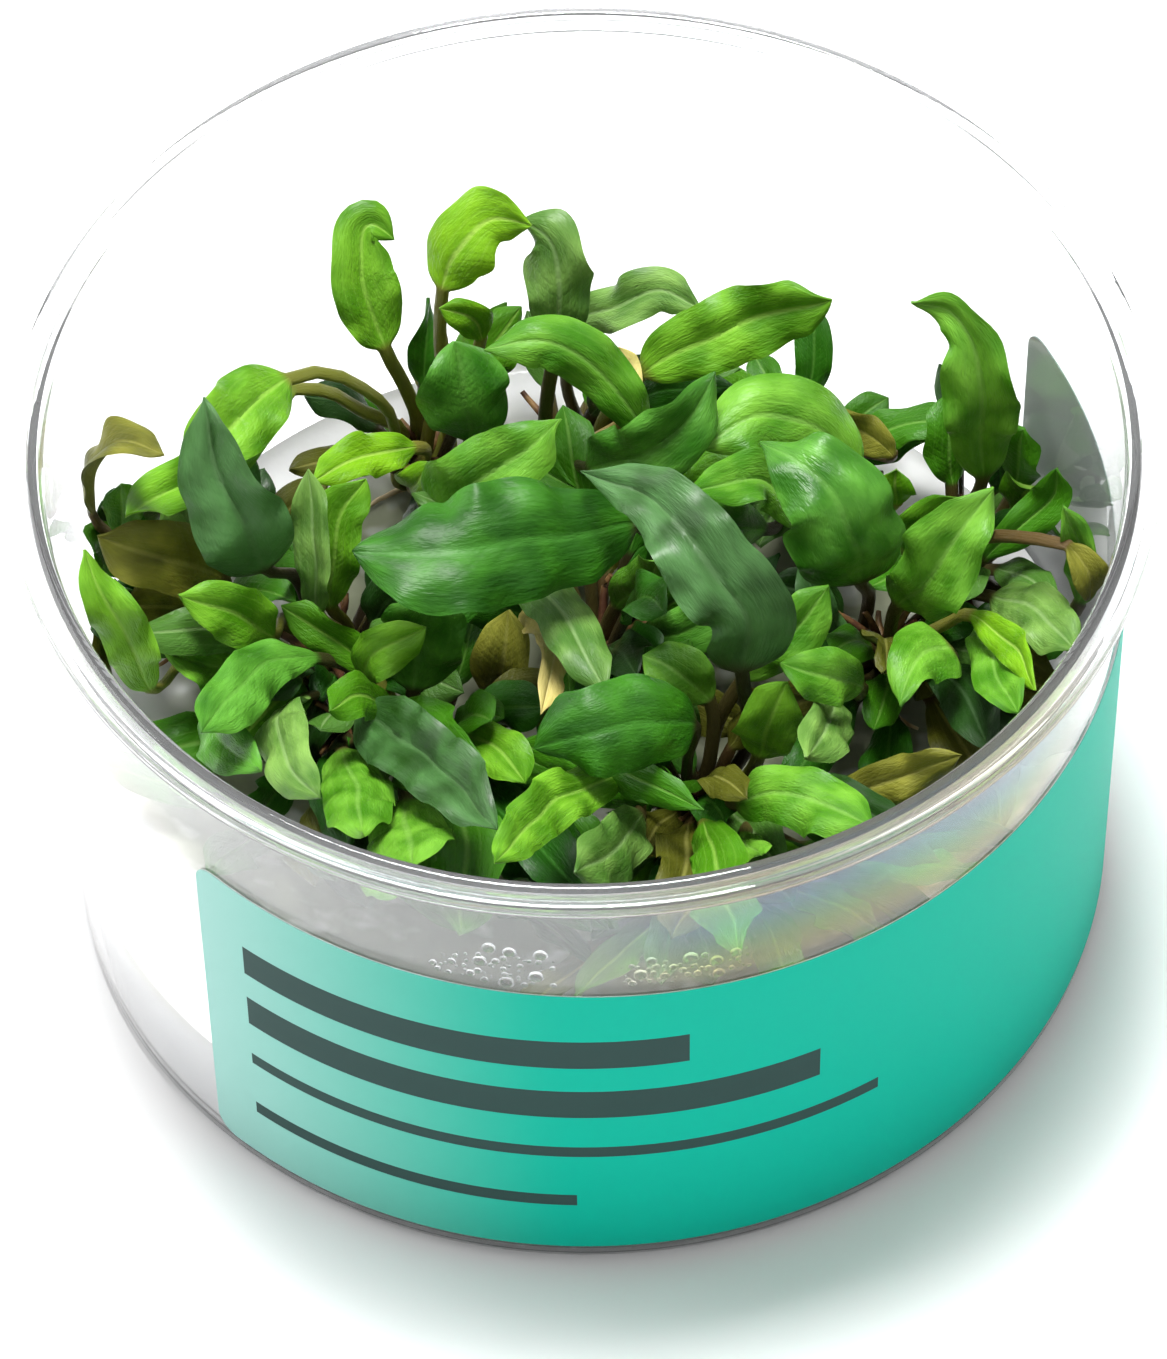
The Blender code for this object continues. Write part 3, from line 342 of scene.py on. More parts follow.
LEAVES = (
    Leaf("back_left", False, "fresh", 6.2, 0.45, 0.85, -15, -10, 0.35, 0.35, 2,
         ((-15, 29.5, 24), (-16, 27.5, 31), (-17.5, 26, 38), (-18.5, 27, 42), (-19.5, 29, 46),
          (-18.5, 31.5, 49), (-16.5, 31, 48))),
    Leaf("back_left", False, "lime", 7.2, 0.45, 0.9, 0, 0, -0.25, 0.25, 2,
         ((-13, 30.5, 26), (-13, 29.5, 35), (-12.5, 29.5, 41), (-11.5, 30.5, 45), (-8, 32, 48.5),
          (-4, 31.5, 49))),
    Leaf("back_left", False, "deep", 8, 0.5, 0.7, 10, 0, -0.2, 0.3, 1,
         ((-11.5, 23, 27), (-10, 19.5, 34), (-10.5, 19.5, 40), (-11, 22.5, 44))),
    Leaf("back_left", False, "mid", 7.4, 0.35, 0.8, 0, 0, 0.15, 0.4, 1,
         ((-14, 19.5, 27), (-13.5, 12, 35), (-9.5, 10, 41), (-5, 10.5, 44), (-1.5, 12, 46))),
    Leaf("back_left", False, "fresh", 6.6, 0.45, 0.8, 0, 0, 0.2, 0.2, 3,
         ((-16, 27, 30), (-18.5, 24.5, 36), (-22, 23, 40), (-25.5, 20.5, 42), (-29, 16.5, 43.5),
          (-32, 12.5, 43.5), (-35, 9.5, 42))),
    Leaf("back_left", False, "fresh", 5, 0.5, 0.8, 0, 0, 0.2, 0.2, 3,
         ((-15.5, 26.5, 26), (-19.5, 24.5, 32), (-22.5, 23.5, 36), (-25, 23, 37),
          (-30.5, 16.5, 37), (-35, 12, 38), (-40, 5, 42))),
    Leaf("back_left", True, "lime", 3.4, 0.5, 0.9, 20, 20, 0.2, 0.1, 1,
         ((-11.5, 29, 28), (-8, 28.5, 36), (-9.5, 28.5, 40), (-12, 28, 42))),
    Leaf("back_left", True, "lime", 4, 0.5, 0.8, 0, 0, 0.1, 0.1, 0,
         ((-15, 23.5, 28), (-19.5, 19.5, 32), (-24, 15, 34))),
    Leaf("back_left", True, "lime", 3.6, 0.5, 0.8, 0, 0, 0.1, 0.1, 0,
         ((-16.5, 23.5, 24), (-15.5, 17.5, 30), (-13.5, 16, 35))),
    Leaf("back", False, "grey", 6, 0.5, 0.6, 0, 0, -0.3, 0.2, 1,
         ((-1, 30.5, 27), (-0.5, 30, 35), (-0.5, 31, 42), (-2, 32.5, 46.5), (-4.5, 33, 48))),
    Leaf("back", False, "grey", 4.4, 0.5, 0.8, 10, 10, 0.1, 0.3, 1,
         ((-0.5, 30, 28), (0, 30, 35), (4, 28, 41), (7.5, 27.5, 44), (10.5, 25, 45))),
    Leaf("back", False, "mid", 5.2, 0.5, 0.8, 0, 0, -0.35, 0.2, 1,
         ((3, 24.5, 26), (5.5, 18.5, 35), (1.5, 20, 42), (-3, 21, 45.5), (-8.5, 20.5, 45))),
    Leaf("back", False, "deep", 6.6, 0.45, 0.8, 0, 0, 0.2, 0.4, 1,
         ((-0.5, 26, 24), (1, 17.5, 32), (6, 14, 39), (9, 14, 43), (11.5, 17, 46))),
    Leaf("back", False, "fresh", 6.6, 0.5, 0.6, 0, 0, 0.15, 0.15, 1,
         ((3.5, 26, 28), (6, 23, 37), (11.5, 23.5, 42), (17.5, 24, 45), (21.5, 25, 46))),
    Leaf("back", True, "straw", 3.6, 0.5, 0.7, 20, 20, 0.2, 0.1, 1,
         ((2.5, 26.5, 26), (5, 25, 31), (4.5, 25.5, 35), (4, 26.5, 38))),
    Leaf("back_right", False, "mid", 7, 0.5, 0.7, 0, 0, -0.2, 0.4, 0,
         ((23.5, 17.5, 32), (19.5, 18, 38), (15.5, 16.5, 41), (11, 11.5, 42))),
    Leaf("back_right", False, "mid", 5, 0.5, 0.8, 0, 0, 0.2, 0.3, 0,
         ((19, 15, 30), (15, 12.5, 38), (10, 6.5, 42))),
    Leaf("back_right", False, "deep", 4.6, 0.5, 0.8, 0, 0, 0.2, 0.2, 0,
         ((19, 12.5, 30), (13, 8.5, 36), (8, 8, 40))),
    Leaf("back_right", True, "olive", 3.4, 0.5, 0.8, 10, 10, 0.2, 0.1, 1,
         ((24.5, 24, 26), (27.5, 19.5, 31), (24.5, 20, 34), (21, 20.5, 36))),
    Leaf("back_right", True, "lime", 3.6, 0.5, 0.8, 0, 0, 0.1, 0.1, 1,
         ((23.5, 19, 22), (27.5, 14.5, 30), (27.5, 13, 34), (27.5, 13, 37))),
    Leaf("right_rear", False, "mid", 6.4, 0.5, 0.75, -10, 40, 0.3, 0.25, 1,
         ((33.5, 16, 24), (34.5, 15, 30), (34.5, 15, 37), (34.5, 15.5, 43), (34, 18, 48),
          (32.5, 20.5, 49), (29, 22.5, 48.5))),
    Leaf("right_rear", False, "grey", 5.4, 0.5, 0.7, 0, 0, -0.1, 0.2, 0,
         ((37, 6.5, 28), (40, 1.5, 32), (42.5, -4.5, 33))),
    Leaf("right_rear", True, "mid", 3.2, 0.5, 0.8, 40, 40, 0.2, 0.1, 1,
         ((39, 8.5, 22), (43, 0.5, 33), (43.5, 0, 40), (42, 1, 46))),
    Leaf("right_rear", True, "olive", 3, 0.5, 0.8, 20, 20, 0.2, 0.1, 2,
         ((36.5, 9, 33), (39.5, 4.5, 38), (42, 2, 40), (43.5, 0.5, 38), (43.5, 0.5, 34))),
    Leaf("right_rear", True, "fresh", 4.2, 0.5, 0.8, 0, 0, 0.2, 0.2, 0,
         ((28, 11, 28), (30.5, 9, 35), (33.5, 7, 40))),
    Leaf("far_left", False, "olive", 4.4, 0.5, 0.9, 40, 20, 0.3, 0.3, 1,
         ((-41, 10, 30), (-44, 6.5, 40), (-43.5, 7, 46), (-41, 8, 48.5), (-37, 7.5, 47.5))),
    Leaf("far_left", False, "fresh", 4.6, 0.5, 0.8, 0, 0, -0.1, 0.1, 1,
         ((-35, 7.5, 20), (-38, -4.5, 28), (-40, -5.5, 38), (-42.5, -4, 44), (-43.5, -2.5, 47))),
    Leaf("far_left", False, "olive", 6, 0.5, 0.75, 0, 0, 0.1, 0.2, 0,
         ((-33, 9, 27), (-38, 7, 33), (-43, 7, 37))),
    Leaf("far_left", False, "deep", 4.8, 0.5, 0.8, 0, 0, 0.1, 0.1, 1,
         ((-34, 6.5, 19), (-34, -1.5, 24), (-32.5, -9.5, 29), (-29.5, -16, 33))),
    Leaf("far_left", True, "olive", 4.4, 0.5, 0.75, 0, 0, 0.1, 0.2, 0,
         ((-34, 8, 22), (-37, 6, 27), (-40, 3.5, 32))),
    Leaf("far_left", True, "mid", 3.4, 0.4, 0.9, 0, 0, 0.1, 0.1, 0,
         ((-41, 9, 34), (-41, 9, 38), (-41.5, 9.5, 41))),
    Leaf("far_left", True, "grey", 4.6, 0.5, 0.75, 0, 0, 0.1, 0.2, 0,
         ((-34, 12.5, 26), (-35, 12.5, 31), (-36.5, 13, 35))),
    Leaf("left", False, "dusk", 7.6, 0.35, 0.85, 0, 0, 0.3, 0.15, 1,
         ((-25.5, 7.5, 26), (-28, 4.5, 32), (-29.5, 5, 38), (-31.5, 8, 43), (-33, 13.5, 48))),
    Leaf("left", False, "fresh", 5, 0.45, 0.9, 0, 0, 0.15, 0.1, 1,
         ((-26.5, 10, 21), (-27.5, 3.5, 27), (-31, 1.5, 33), (-35.5, 1, 36))),
    Leaf("left", False, "deep", 5.4, 0.6, 0.8, 0, 0, -0.2, 0.1, 1,
         ((-21, 4.5, 20), (-23.5, 0.5, 27), (-28, -4.5, 33), (-31, -10.5, 36), (-33.5, -15, 37))),
    Leaf("left", False, "grey", 5, 0.5, 0.8, 0, -30, -0.2, 0.1, 1,
         ((-24.5, 2.5, 20), (-25.5, -1, 24), (-28, -7.5, 29), (-27, -14, 32), (-24, -20, 34))),
    Leaf("left", False, "fresh", 4.8, 0.55, 0.7, 0, 0, 0.2, 0.1, 1,
         ((-22, 6.5, 22), (-23, 5.5, 26), (-22.5, 6.5, 33), (-21.5, 8.5, 37), (-19.5, 10.5, 40))),
    Leaf("left", False, "grey", 3.8, 0.5, 0.8, 30, 30, 0.3, 0.15, 1,
         ((-24.5, 6, 22), (-25.5, 6, 25), (-25, 8.5, 31), (-25, 14, 37))),
    Leaf("left", True, "mid", 4.6, 0.5, 0.75, 0, 0, 0.1, 0.2, 0,
         ((-29, 2.5, 20), (-33.5, 1.5, 25), (-37.5, -0.5, 30))),
    Leaf("left_front", False, "fresh", 4.4, 0.6, 0.7, 0, 0, 0.15, 0.1, 0,
         ((-21.5, 0, 24), (-19.5, -1, 30), (-15, -1.5, 34))),
    Leaf("left_front", False, "dusk", 7, 0.45, 0.8, 0, 0, 0.35, 0.15, 0,
         ((-21, -4.5, 27), (-17.5, -12.5, 33), (-13.5, -19.5, 37), (-8.5, -28.5, 40))),
    Leaf("left_front", False, "mid", 6.4, 0.5, 0.8, 0, 0, -0.3, 0.1, 0,
         ((-22, -8, 25), (-21.5, -16.5, 31), (-21, -27, 38))),
    Leaf("centre", False, "gloss", 10.2, 0.55, 0.65, 0, 0, -0.2, 0.15, 1,
         ((5.5, 8, 28), (4, 6.5, 38), (-2, 2, 42), (-11, -1, 44), (-20, 0, 43))),
    Leaf("centre", False, "grey", 4.8, 0.5, 0.6, 0, 0, -0.1, 0.15, 1,
         ((-2.5, 8.5, 25), (-5, 7.5, 29), (-1, -2.5, 34), (1.5, -9, 34))),
    Leaf("centre", True, "straw", 4, 0.4, 0.9, 0, 0, 0.1, 0.15, 1,
         ((-3.5, 9, 22), (-5.5, 6, 25), (-3.5, -2, 29), (-5, -7.5, 29))),
    Leaf("centre", True, "mid", 4.6, 0.5, 0.8, 0, 0, 0.1, 0.2, 0,
         ((1.5, 9.5, 24), (5, 7.5, 29), (7, 8, 31))),
    Leaf("centre", True, "deep", 4.6, 0.5, 0.75, 0, 0, 0.1, 0.1, 0,
         ((4.5, 7.5, 20), (10, 6.5, 24), (15.5, 7.5, 28))),
    Leaf("right", False, "deep", 10, 0.35, 0.8, 0, 0, -0.2, 0.3, 1,
         ((26, 6, 24), (25, 2.5, 32), (24, 1, 40), (22.5, 3, 44), (19.5, 6, 46), (16, 8.5, 46.5))),
    Leaf("right", False, "mid", 7, 0.45, 0.8, 0, 0, 0.2, 0.15, 0,
         ((27.5, 3, 30), (30.5, 0, 38), (33, 0.5, 43), (36, 3, 46.5))),
    Leaf("right", False, "mid", 6.2, 0.25, 0.9, 0, 0, -0.2, 0.15, 1,
         ((31.5, -1.5, 24), (31.5, -5, 34), (28.5, -9, 38), (26.5, -15, 39))),
    Leaf("right", False, "mid", 4.4, 0.5, 0.8, 0, 0, 0.15, 0.1, 1,
         ((31.5, 5.5, 22), (34.5, 0, 30), (35.5, -8, 35), (37.5, -16, 39))),
    Leaf("right", False, "mid", 4.8, 0.5, 0.75, 0, 0, 0.1, 0.15, 1,
         ((26, -4, 27), (25, -8, 33), (21, -10, 37), (16, -10, 39))),
    Leaf("right", False, "grey", 4.8, 0.5, 0.75, 10, 10, 0.1, 0.4, 1,
         ((23.5, 4, 20), (23, -2.5, 25), (21, -10, 30), (17.5, -15, 32))),
    Leaf("right", True, "lime", 3.2, 0.5, 0.8, 0, 0, 0.15, 0.1, 1,
         ((30, 4.5, 26), (32.5, -1, 34), (36, -7, 38), (38.5, -15, 41))),
    Leaf("right", True, "dusk", 3.8, 0.5, 0.75, 0, 0, 0.1, 0.1, 0,
         ((23.5, 7, 20), (20.5, 5.5, 25), (19, 8.5, 30))),
    Leaf("front_left", False, "deep", 7.4, 0.5, 0.7, 0, 0, -0.1, 0.1, 0,
         ((-13.5, -2.5, 24), (-13.5, -2, 30), (-13, 1.5, 34))),
    Leaf("front_left", False, "mid", 7.6, 0.5, 0.7, 0, 0, -0.3, 0.1, 1,
         ((-16, -5.5, 20), (-16, -15, 27), (-16, -24, 34), (-15.5, -32, 40))),
    Leaf("front_left", True, "fresh", 4.4, 0.5, 0.75, 0, 0, 0.1, 0.15, 0,
         ((-13, -4, 22), (-9, -9.5, 27), (-5.5, -16, 30))),
    Leaf("front_left", True, "olive", 5, 0.5, 0.75, 0, 0, 0.1, 0.1, 0,
         ((-8.5, 2, 19), (-7.5, 2.5, 24), (-7, 5, 28))),
    Leaf("front_right", False, "dusk", 8, 0.3, 0.8, 0, 0, 0.2, 0.2, 2,
         ((13, -9, 23), (13, -11, 31), (12.5, -11.5, 38), (13, -10.5, 45), (9, -6.5, 49.5),
          (5, 0, 49), (-1, 6, 46))),
    Leaf("front_right", False, "gloss", 8.2, 0.5, 0.65, 0, 0, -0.3, 0.15, 1,
         ((8.5, -9, 24), (9, -12, 33), (5.5, -15.5, 38), (0, -17.5, 39.5), (-5, -17.5, 37))),
    Leaf("front_right", False, "fresh", 5.2, 0.5, 0.7, 0, 0, 0.1, 0.1, 1,
         ((13.5, -7, 20), (14.5, -9, 25), (15.5, -10, 31), (17.5, -9, 35))),
    Leaf("front_right", False, "mid", 6, 0.45, 0.8, 0, 0, -0.2, 0.1, 1,
         ((11.5, -10.5, 20), (13, -17, 28), (15.5, -19, 32), (20, -23.5, 36), (24, -28, 39))),
    Leaf("front_right", False, "fresh", 4.8, 0.5, 0.65, 0, 0, 0.15, 0.15, 1,
         ((6, -10, 22), (2.5, -16.5, 30), (-2, -22.5, 36), (-6.5, -30, 42), (-9.5, -37, 46.5))),
    Leaf("front_right", False, "grey", 5.6, 0.5, 0.75, 0, 0, -0.1, 0.3, 1,
         ((4.5, -8.5, 20), (4, -14.5, 25), (2.5, -22, 30), (-1.5, -31, 37))),
    Leaf("front_right", False, "mid", 5, 0.5, 0.8, 0, 0, 0.2, 0.1, 1,
         ((12.5, -5.5, 25), (14, -4, 29), (17, -3, 34), (20, 0, 37))),
    Leaf("front_right", True, "olive", 4, 0.5, 0.8, 0, 0, 0.1, 0.2, 1,
         ((15, -10.5, 20), (20.5, -15, 26), (25.5, -16.5, 31), (32, -18, 36))),
    Leaf("front_right", True, "mid", 5, 0.5, 0.8, 0, 0, 0.1, 0.2, 1,
         ((11, -5.5, 22), (11, -4, 26), (8.5, -3.5, 29), (5.5, -2, 30))),
    Leaf("front_right", True, "mid", 3.6, 0.5, 0.9, 0, 0, -0.1, 0.1, 1,
         ((13.5, -9.5, 19), (13, -19.5, 27), (14, -24, 31), (15.5, -27, 34))),
    Leaf("front_right", True, "deep", 4.4, 0.5, 0.75, 0, 0, 0.1, 0.1, 0,
         ((9, -7, 20), (6.5, -0.5, 22), (9, 3, 26))),
)

Row = namedtuple("Row", "left middle right face thickness share")
Room = namedtuple("Room", "crown young tree low high outside")


def clamp(value, low, high):
    return min(max(value, low), high)


def turns(count):
    """Angles in radians, evenly round a circle."""
    return [2 * pi * i / count for i in range(count)]


def shares_of(t):
    """What a smooth line takes of its start, its first slope, its end and its last slope, part way along."""
    return 2 * t**3 - 3 * t**2 + 1, t**3 - 2 * t**2 + t, 3 * t**2 - 2 * t**3, t**3 - t**2


class Curve:
    """A smooth line through points, measured along the straight lines between them."""

    def __init__(self, points):
        self.points = points
        steps = [b - a for a, b in zip(points, points[1:])]
        lengths = [step.length for step in steps]
        slopes = [step / length for step, length in zip(steps, lengths)]
        self.marks = [sum(lengths[:i]) for i in range(len(points))]
        self.slopes = [slopes[0]]
        for i in range(1, len(slopes)):
            blend = slopes[i - 1] * lengths[i] + slopes[i] * lengths[i - 1]
            self.slopes.append(blend / (lengths[i - 1] + lengths[i]))
        self.slopes.append(slopes[-1])

    def at(self, distance):
        i = 0
        while i < len(self.marks) - 2 and self.marks[i + 1] <= distance:
            i += 1
        span = self.marks[i + 1] - self.marks[i]
        t = clamp((distance - self.marks[i]) / span, 0.0, 1.0)
        start, leaving, end, arriving = shares_of(t)
        near = self.points[i] * start + self.slopes[i] * span * leaving
        return near + (self.points[i + 1] * end + self.slopes[i + 1] * span * arriving)


def level_way(heading):
    """The level direction at a heading in radians from +X."""
    return Vector((cos(heading), sin(heading), 0.0))


def wall_radius(height):
    """Outer radius of the cup's wall at a height, both in millimetres."""
    return WALL_BASE_RADIUS + (WALL_TOP_RADIUS - WALL_BASE_RADIUS) * height / CUP_HEIGHT


def inner_radius(height):
    return wall_radius(height) - WALL_THICKNESS


# Leaves


def opening(leaf, t):
    """How full a blade is at a share of its length, from 0 at its ends to 1 where it is widest."""
    return (t / leaf.fullest) ** leaf.fullest * ((1 - t) / (1 - leaf.fullest)) ** (1 - leaf.fullest)


def half_width(leaf, share):
    """Half the blade's width in millimetres, at a share of its length from the neck."""
    if share <= 0:
        return STALK_WIDTH / 2
    t = clamp(share, 0.0, 1.0)
    blade = leaf.width * FULLNESS / 2 * opening(leaf, t) ** (leaf.blunt * TAPER)
    return max(blade, STALK_WIDTH / 2 * (1 - 3 * t), TIP_WIDTH / 2)


def midrib(leaf, ease):
    """The curve that the leaf's midrib follows from its foot beside the crown, or inside it when young."""
    x, y = CROWNS[leaf.crown]
    points = [Vector(point) for point in leaf.points]
    for i, point in enumerate(points):
        t = i / (len(points) - 1)
        point += LIGHT * (ease.near * (1 - t) + ease.far * t + ease.bow * 4 * t * (1 - t))
        point += ASIDE * (ease.near_side * (1 - t) + ease.far_side * t) + AWAY * ease.near_away * (1 - t)
    foot = Vector((x, y, FOOT_HEIGHT))
    if not leaf.young:
        heading = atan2(points[0].y - y, points[0].x - x) + radians(ease.turn)
        foot += level_way(heading) * FOOT_RADIUS
    return Curve([foot] + points)


def upper_sides(alongs, start):
    """The direction that the upper side faces at each row, towards the light at the start row."""
    faces = list(alongs)
    for order in (range(start, len(alongs)), range(start - 1, -1, -1)):
        aim = LIGHT if start in order else faces[start]
        for i in order:
            aim = aim + LIGHT * PULL_OF_LIGHT
            aim = (aim - alongs[i] * aim.dot(alongs[i])).normalized()
            faces[i] = aim
    return faces


def leaf_rows(leaf, curve):
    """The leaf's cross rows from its foot to its tip, each with its two edges and its middle."""
    stalk_rows = min(STALK_ROWS[leaf.young], leaf.stalk_points + 2)
    blade_rows = BLADE_ROWS[leaf.young]
    neck = curve.marks[leaf.stalk_points + 1]
    end = curve.marks[-1]
    distances = [neck * i / stalk_rows for i in range(stalk_rows)]
    distances += [neck + (end - neck) * i / blade_rows for i in range(blade_rows + 1)]
    step = end * 0.001
    alongs = [(curve.at(distance + step) - curve.at(distance - step)).normalized() for distance in distances]
    across_light = [abs(along.dot(LIGHT)) for along in alongs[stalk_rows:]]
    faces = upper_sides(alongs, stalk_rows + across_light.index(min(across_light)))
    rows = []
    for distance, along, face in zip(distances, alongs, faces):
        share = clamp((distance - neck) / (end - neck), 0.0, 1.0)
        middle = curve.at(distance)
        side = along.cross(face)
        roll = radians(leaf.roll + (leaf.curl - leaf.roll) * share)
        across = side * cos(roll) + face * sin(roll)
        upward = face * cos(roll) - side * sin(roll)
        half = half_width(leaf, share)
        reach = across * half / sqrt(1 + leaf.fold**2)
        edges = []
        for sign, shift in ((-1, 0.0), (1, WAVE_SHIFT)):
            wave = leaf.wave * sin(2 * pi * (WAVES_PER_BLADE * share + shift))
            lift = min(3 * share, 1.0) * (leaf.fold * half + wave)
            edges.append(middle + sign * reach + upward * lift)
        thickness = STALK_THICKNESS + (BLADE_THICKNESS - STALK_THICKNESS) * min(4 * share, 1.0)
        rows.append(Row(edges[0], middle, edges[1], upward, thickness, share))
    return rows


# Room between the leaves


def rings_of(rows):
    """Rings of corners half a gap outside a leaf."""
    rings = []
    for row in rows:
        out = (row.right - row.left).normalized() * LEAF_GAP / 2
        up = row.face * (row.thickness + LEAF_GAP) / 2
        over = (row.left - out + up, row.middle + up, row.right + out + up)
        under = (row.right + out - up, row.middle - up, row.left - out - up)
        rings.append(over + under)
    return rings


def outside(corners):
    """How far corners reach out of the space over the gel and inside the cup, in millimetres in all."""
    total = 0.0
    for corner in corners:
        total += max(LEAF_LOW - corner.z, 0.0)
        total += max(corner.z - LEAF_HIGH, 0.0)
        total += max(hypot(corner.x, corner.y) - inner_radius(corner.z) + GAP / 2, 0.0)
    return total


def room_of(rings, crown, young):
    """The room that a closed body through rings of corners takes."""
    corners = [corner for ring in rings for corner in ring]
    count = len(rings[0])
    last = len(corners) - count
    faces = [tuple(range(count)), tuple(range(last, last + count))]
    for start in range(0, last, count):
        for j in range(count):
            k = (j + 1) % count
            faces.append((start + j, start + k, start + count + k, start + count + j))
    low = [min(corner[axis] for corner in corners) for axis in range(3)]
    high = [max(corner[axis] for corner in corners) for axis in range(3)]
    return Room(crown, young, BVHTree.FromPolygons(corners, faces), low, high, outside(corners))


def leaf_room(leaf, ease):
    return room_of(rings_of(leaf_rows(leaf, midrib(leaf, ease))), leaf.crown, leaf.young)


def crown_room(name):
    x, y = CROWNS[name]
    radius = CROWN_RADIUS + GAP / 2
    outline = [Vector((x + radius * cos(turn), y + radius * sin(turn), 0.0)) for turn in turns(12)]
    heights = (LEAF_LOW, CROWN_TOP + GAP)
    rings = [[corner + Vector((0.0, 0.0, height)) for corner in outline] for height in heights]
    return room_of(rings, name, True)


def touch(first, second):
    """How much two rooms run into each other. What is young on one plant may grow together."""
    if first.young and second.young and first.crown == second.crown:
        return 0.0
    for axis in range(3):
        if first.low[axis] > second.high[axis] or second.low[axis] > first.high[axis]:
            return 0.0
    return sqrt(min(len(first.tree.overlap(second.tree)), MOST_TOUCHES))


def touches_of(room, rooms, skip):
    found = {}
    for i, other in enumerate(rooms):
        amount = touch(room, other) if i != skip else 0.0
        if amount:
            found[i] = amount
    return found


def strain(ease):
    return sum(weight * amount**2 for weight, amount in zip(EASE_WEIGHTS, ease))


def new_ease(ease, chance):
    """The same leaf's easing, changed at random in one to three ways."""
    amounts = list(ease)
    if chance.random() < 0.2:
        keep = chance.random()
        amounts = [amount * keep for amount in amounts]
    size = chance.choice((0.6, 1.5, 3.0))
    for way in chance.sample(range(len(amounts)), chance.choice((1, 2, 3))):
        amounts[way] += chance.gauss(0.0, size * EASE_SIZES[way])
    return Ease(*amounts)


def grow(leaves):
    """The leaves' midribs, eased over a set number of steps from where they are drawn, away from each other
    and the cup.
    """
    chance = Random(GROWTH_SEED)
    eases = [Ease(0.0, 0.0, 0.0, 0.0, 0.0, 0.0, 0.0)] * len(leaves)
    rooms = [leaf_room(leaf, ease) for leaf, ease in zip(leaves, eases)]
    rooms += [crown_room(name) for name in CROWNS]
    touches = [touches_of(room, rooms, i) for i, room in enumerate(rooms)]
    for step in range(GROWTH_STEPS):
        age = step / GROWTH_STEPS
        crowded = [i for i in range(len(leaves)) if touches[i] or rooms[i].outside]
        i = chance.randrange(len(leaves))
        if crowded and chance.random() < 0.85:
            i = chance.choice(crowded)
            if chance.random() < 0.4:
                i = chance.choice([k for k, leaf in enumerate(leaves) if leaf.crown == leaves[i].crown])
        ease = new_ease(eases[i], chance)
        room = leaf_room(leaves[i], ease)
        found = touches_of(room, rooms, i)
        worse = sum(found.values()) - sum(touches[i].values()) + (room.outside - rooms[i].outside) / 2
        worse += (0.25 - 0.2 * age) * (strain(ease) - strain(eases[i]))
        heat = max(0.5 * (1 - age) ** 2, 0.2 if crowded else 0.02)
        if worse > 0 and chance.random() > exp(-worse / heat):
            continue
        for j in touches[i]:
            del touches[j][i]
        for j, amount in found.items():
            touches[j][i] = amount
        eases[i], rooms[i], touches[i] = ease, room, found
    return [midrib(leaf, ease) for leaf, ease in zip(leaves, eases)]


# Settings


def colour_of(hex_colour):
    """An sRGB hex colour as linear red, green, blue and 1."""
    channels = [value / 255 for value in bytes.fromhex(hex_colour)]
    return (*[c / 12.92 if c <= 0.04045 else ((c + 0.055) / 1.055) ** 2.4 for c in channels], 1.0)


def colour_setting(name, description, default):
    return bpy.props.FloatVectorProperty(
        name=name, description=description, subtype="COLOR", size=4, default=colour_of(default)
    )


def number_setting(name, description, default, **details):
    return bpy.props.FloatProperty(name=name, description=description, default=default, **details)


def count_setting(name, description, default, least, most):
    return bpy.props.IntProperty(name=name, description=description, default=default, min=least, max=most)


class CupSettings(bpy.types.PropertyGroup):
    sides: count_setting("Sides", "Faces round the clear cup", 192, 48, 384)
    tint: colour_setting("Tint", "Colour of light that has passed through the wall", "FAFBFC")


class LabelSettings(bpy.types.PropertyGroup):
    colour: colour_setting("Colour", "Print colour", "00AE96")
    mark_colour: colour_setting("Mark colour", "Plain bars' colour", "2F4744")
    clearance: number_setting("Clearance", "Glue layer between wall and film", 0.03 * MM, unit="LENGTH")


class GelSettings(bpy.types.PropertyGroup):
    tint: colour_setting("Tint", "Colour of the gel", "FFFFFF")
    # Painted shade: the gel's colour under the plants stands in for the shade of their leaves
    plant_shade: colour_setting("Shade", "Colour of the gel under the plants", "666E3C")
    clarity: number_setting("Clarity", "Share of light that goes through", 0.12, subtype="FACTOR")


class PlantSettings(bpy.types.PropertyGroup):
    ruffle: number_setting("Ruffle", "Height of the small waves at blade edges", 0.7 * MM, unit="LENGTH")
    rib: number_setting("Rib", "How far the midrib stands out under a blade", 0.45 * MM, unit="LENGTH")
    root_colour: colour_setting("Roots", "Colour of the roots", "C9B48E")


class DropSettings(bpy.types.PropertyGroup):
    count: count_setting("Count", "Drops on the wall", 110, 0, 400)
    largest: number_setting("Largest", "Radius of the largest drop", 0.75 * MM, unit="LENGTH")


class StageSettings(bpy.types.PropertyGroup):
    floor_colour: colour_setting("Floor", "Colour of the floor", "FAFAFA")
    key_power: number_setting("Key light", "Power of the light overhead", 25.0, unit="POWER")
    focal_length: number_setting("Focal length", "Camera's focal length", 446.93, unit="CAMERA")


# Materials


def add(tree, kind, *sources, **settings):
    """The first output of a new node, whose inputs take sockets, values or None, to stay as they are."""
    node = tree.nodes.new(kind)
    for name, value in settings.items():
        setattr(node, name, value)
    for socket, source in zip([socket for socket in node.inputs if socket.enabled], sources):
        if isinstance(source, bpy.types.NodeSocket):
            tree.links.new(source, socket)
        elif source is not None:
            socket.default_value = source
    return next(socket for socket in node.outputs if socket.enabled)


def calc(tree, operation, *values):
    return add(tree, "ShaderNodeMath", *values, operation=operation)


def soft_step(tree, value, start, end, *levels):
    """Goes from 0 to 1, or between two levels, while the value goes from start to end."""
    return add(tree, "ShaderNodeMapRange", value, start, end, *levels, interpolation_type="SMOOTHSTEP")


def mix(tree, share, first, second):
    """A share of the way from a first colour to a second."""
    return add(tree, "ShaderNodeMix", share, first, second, data_type="RGBA")


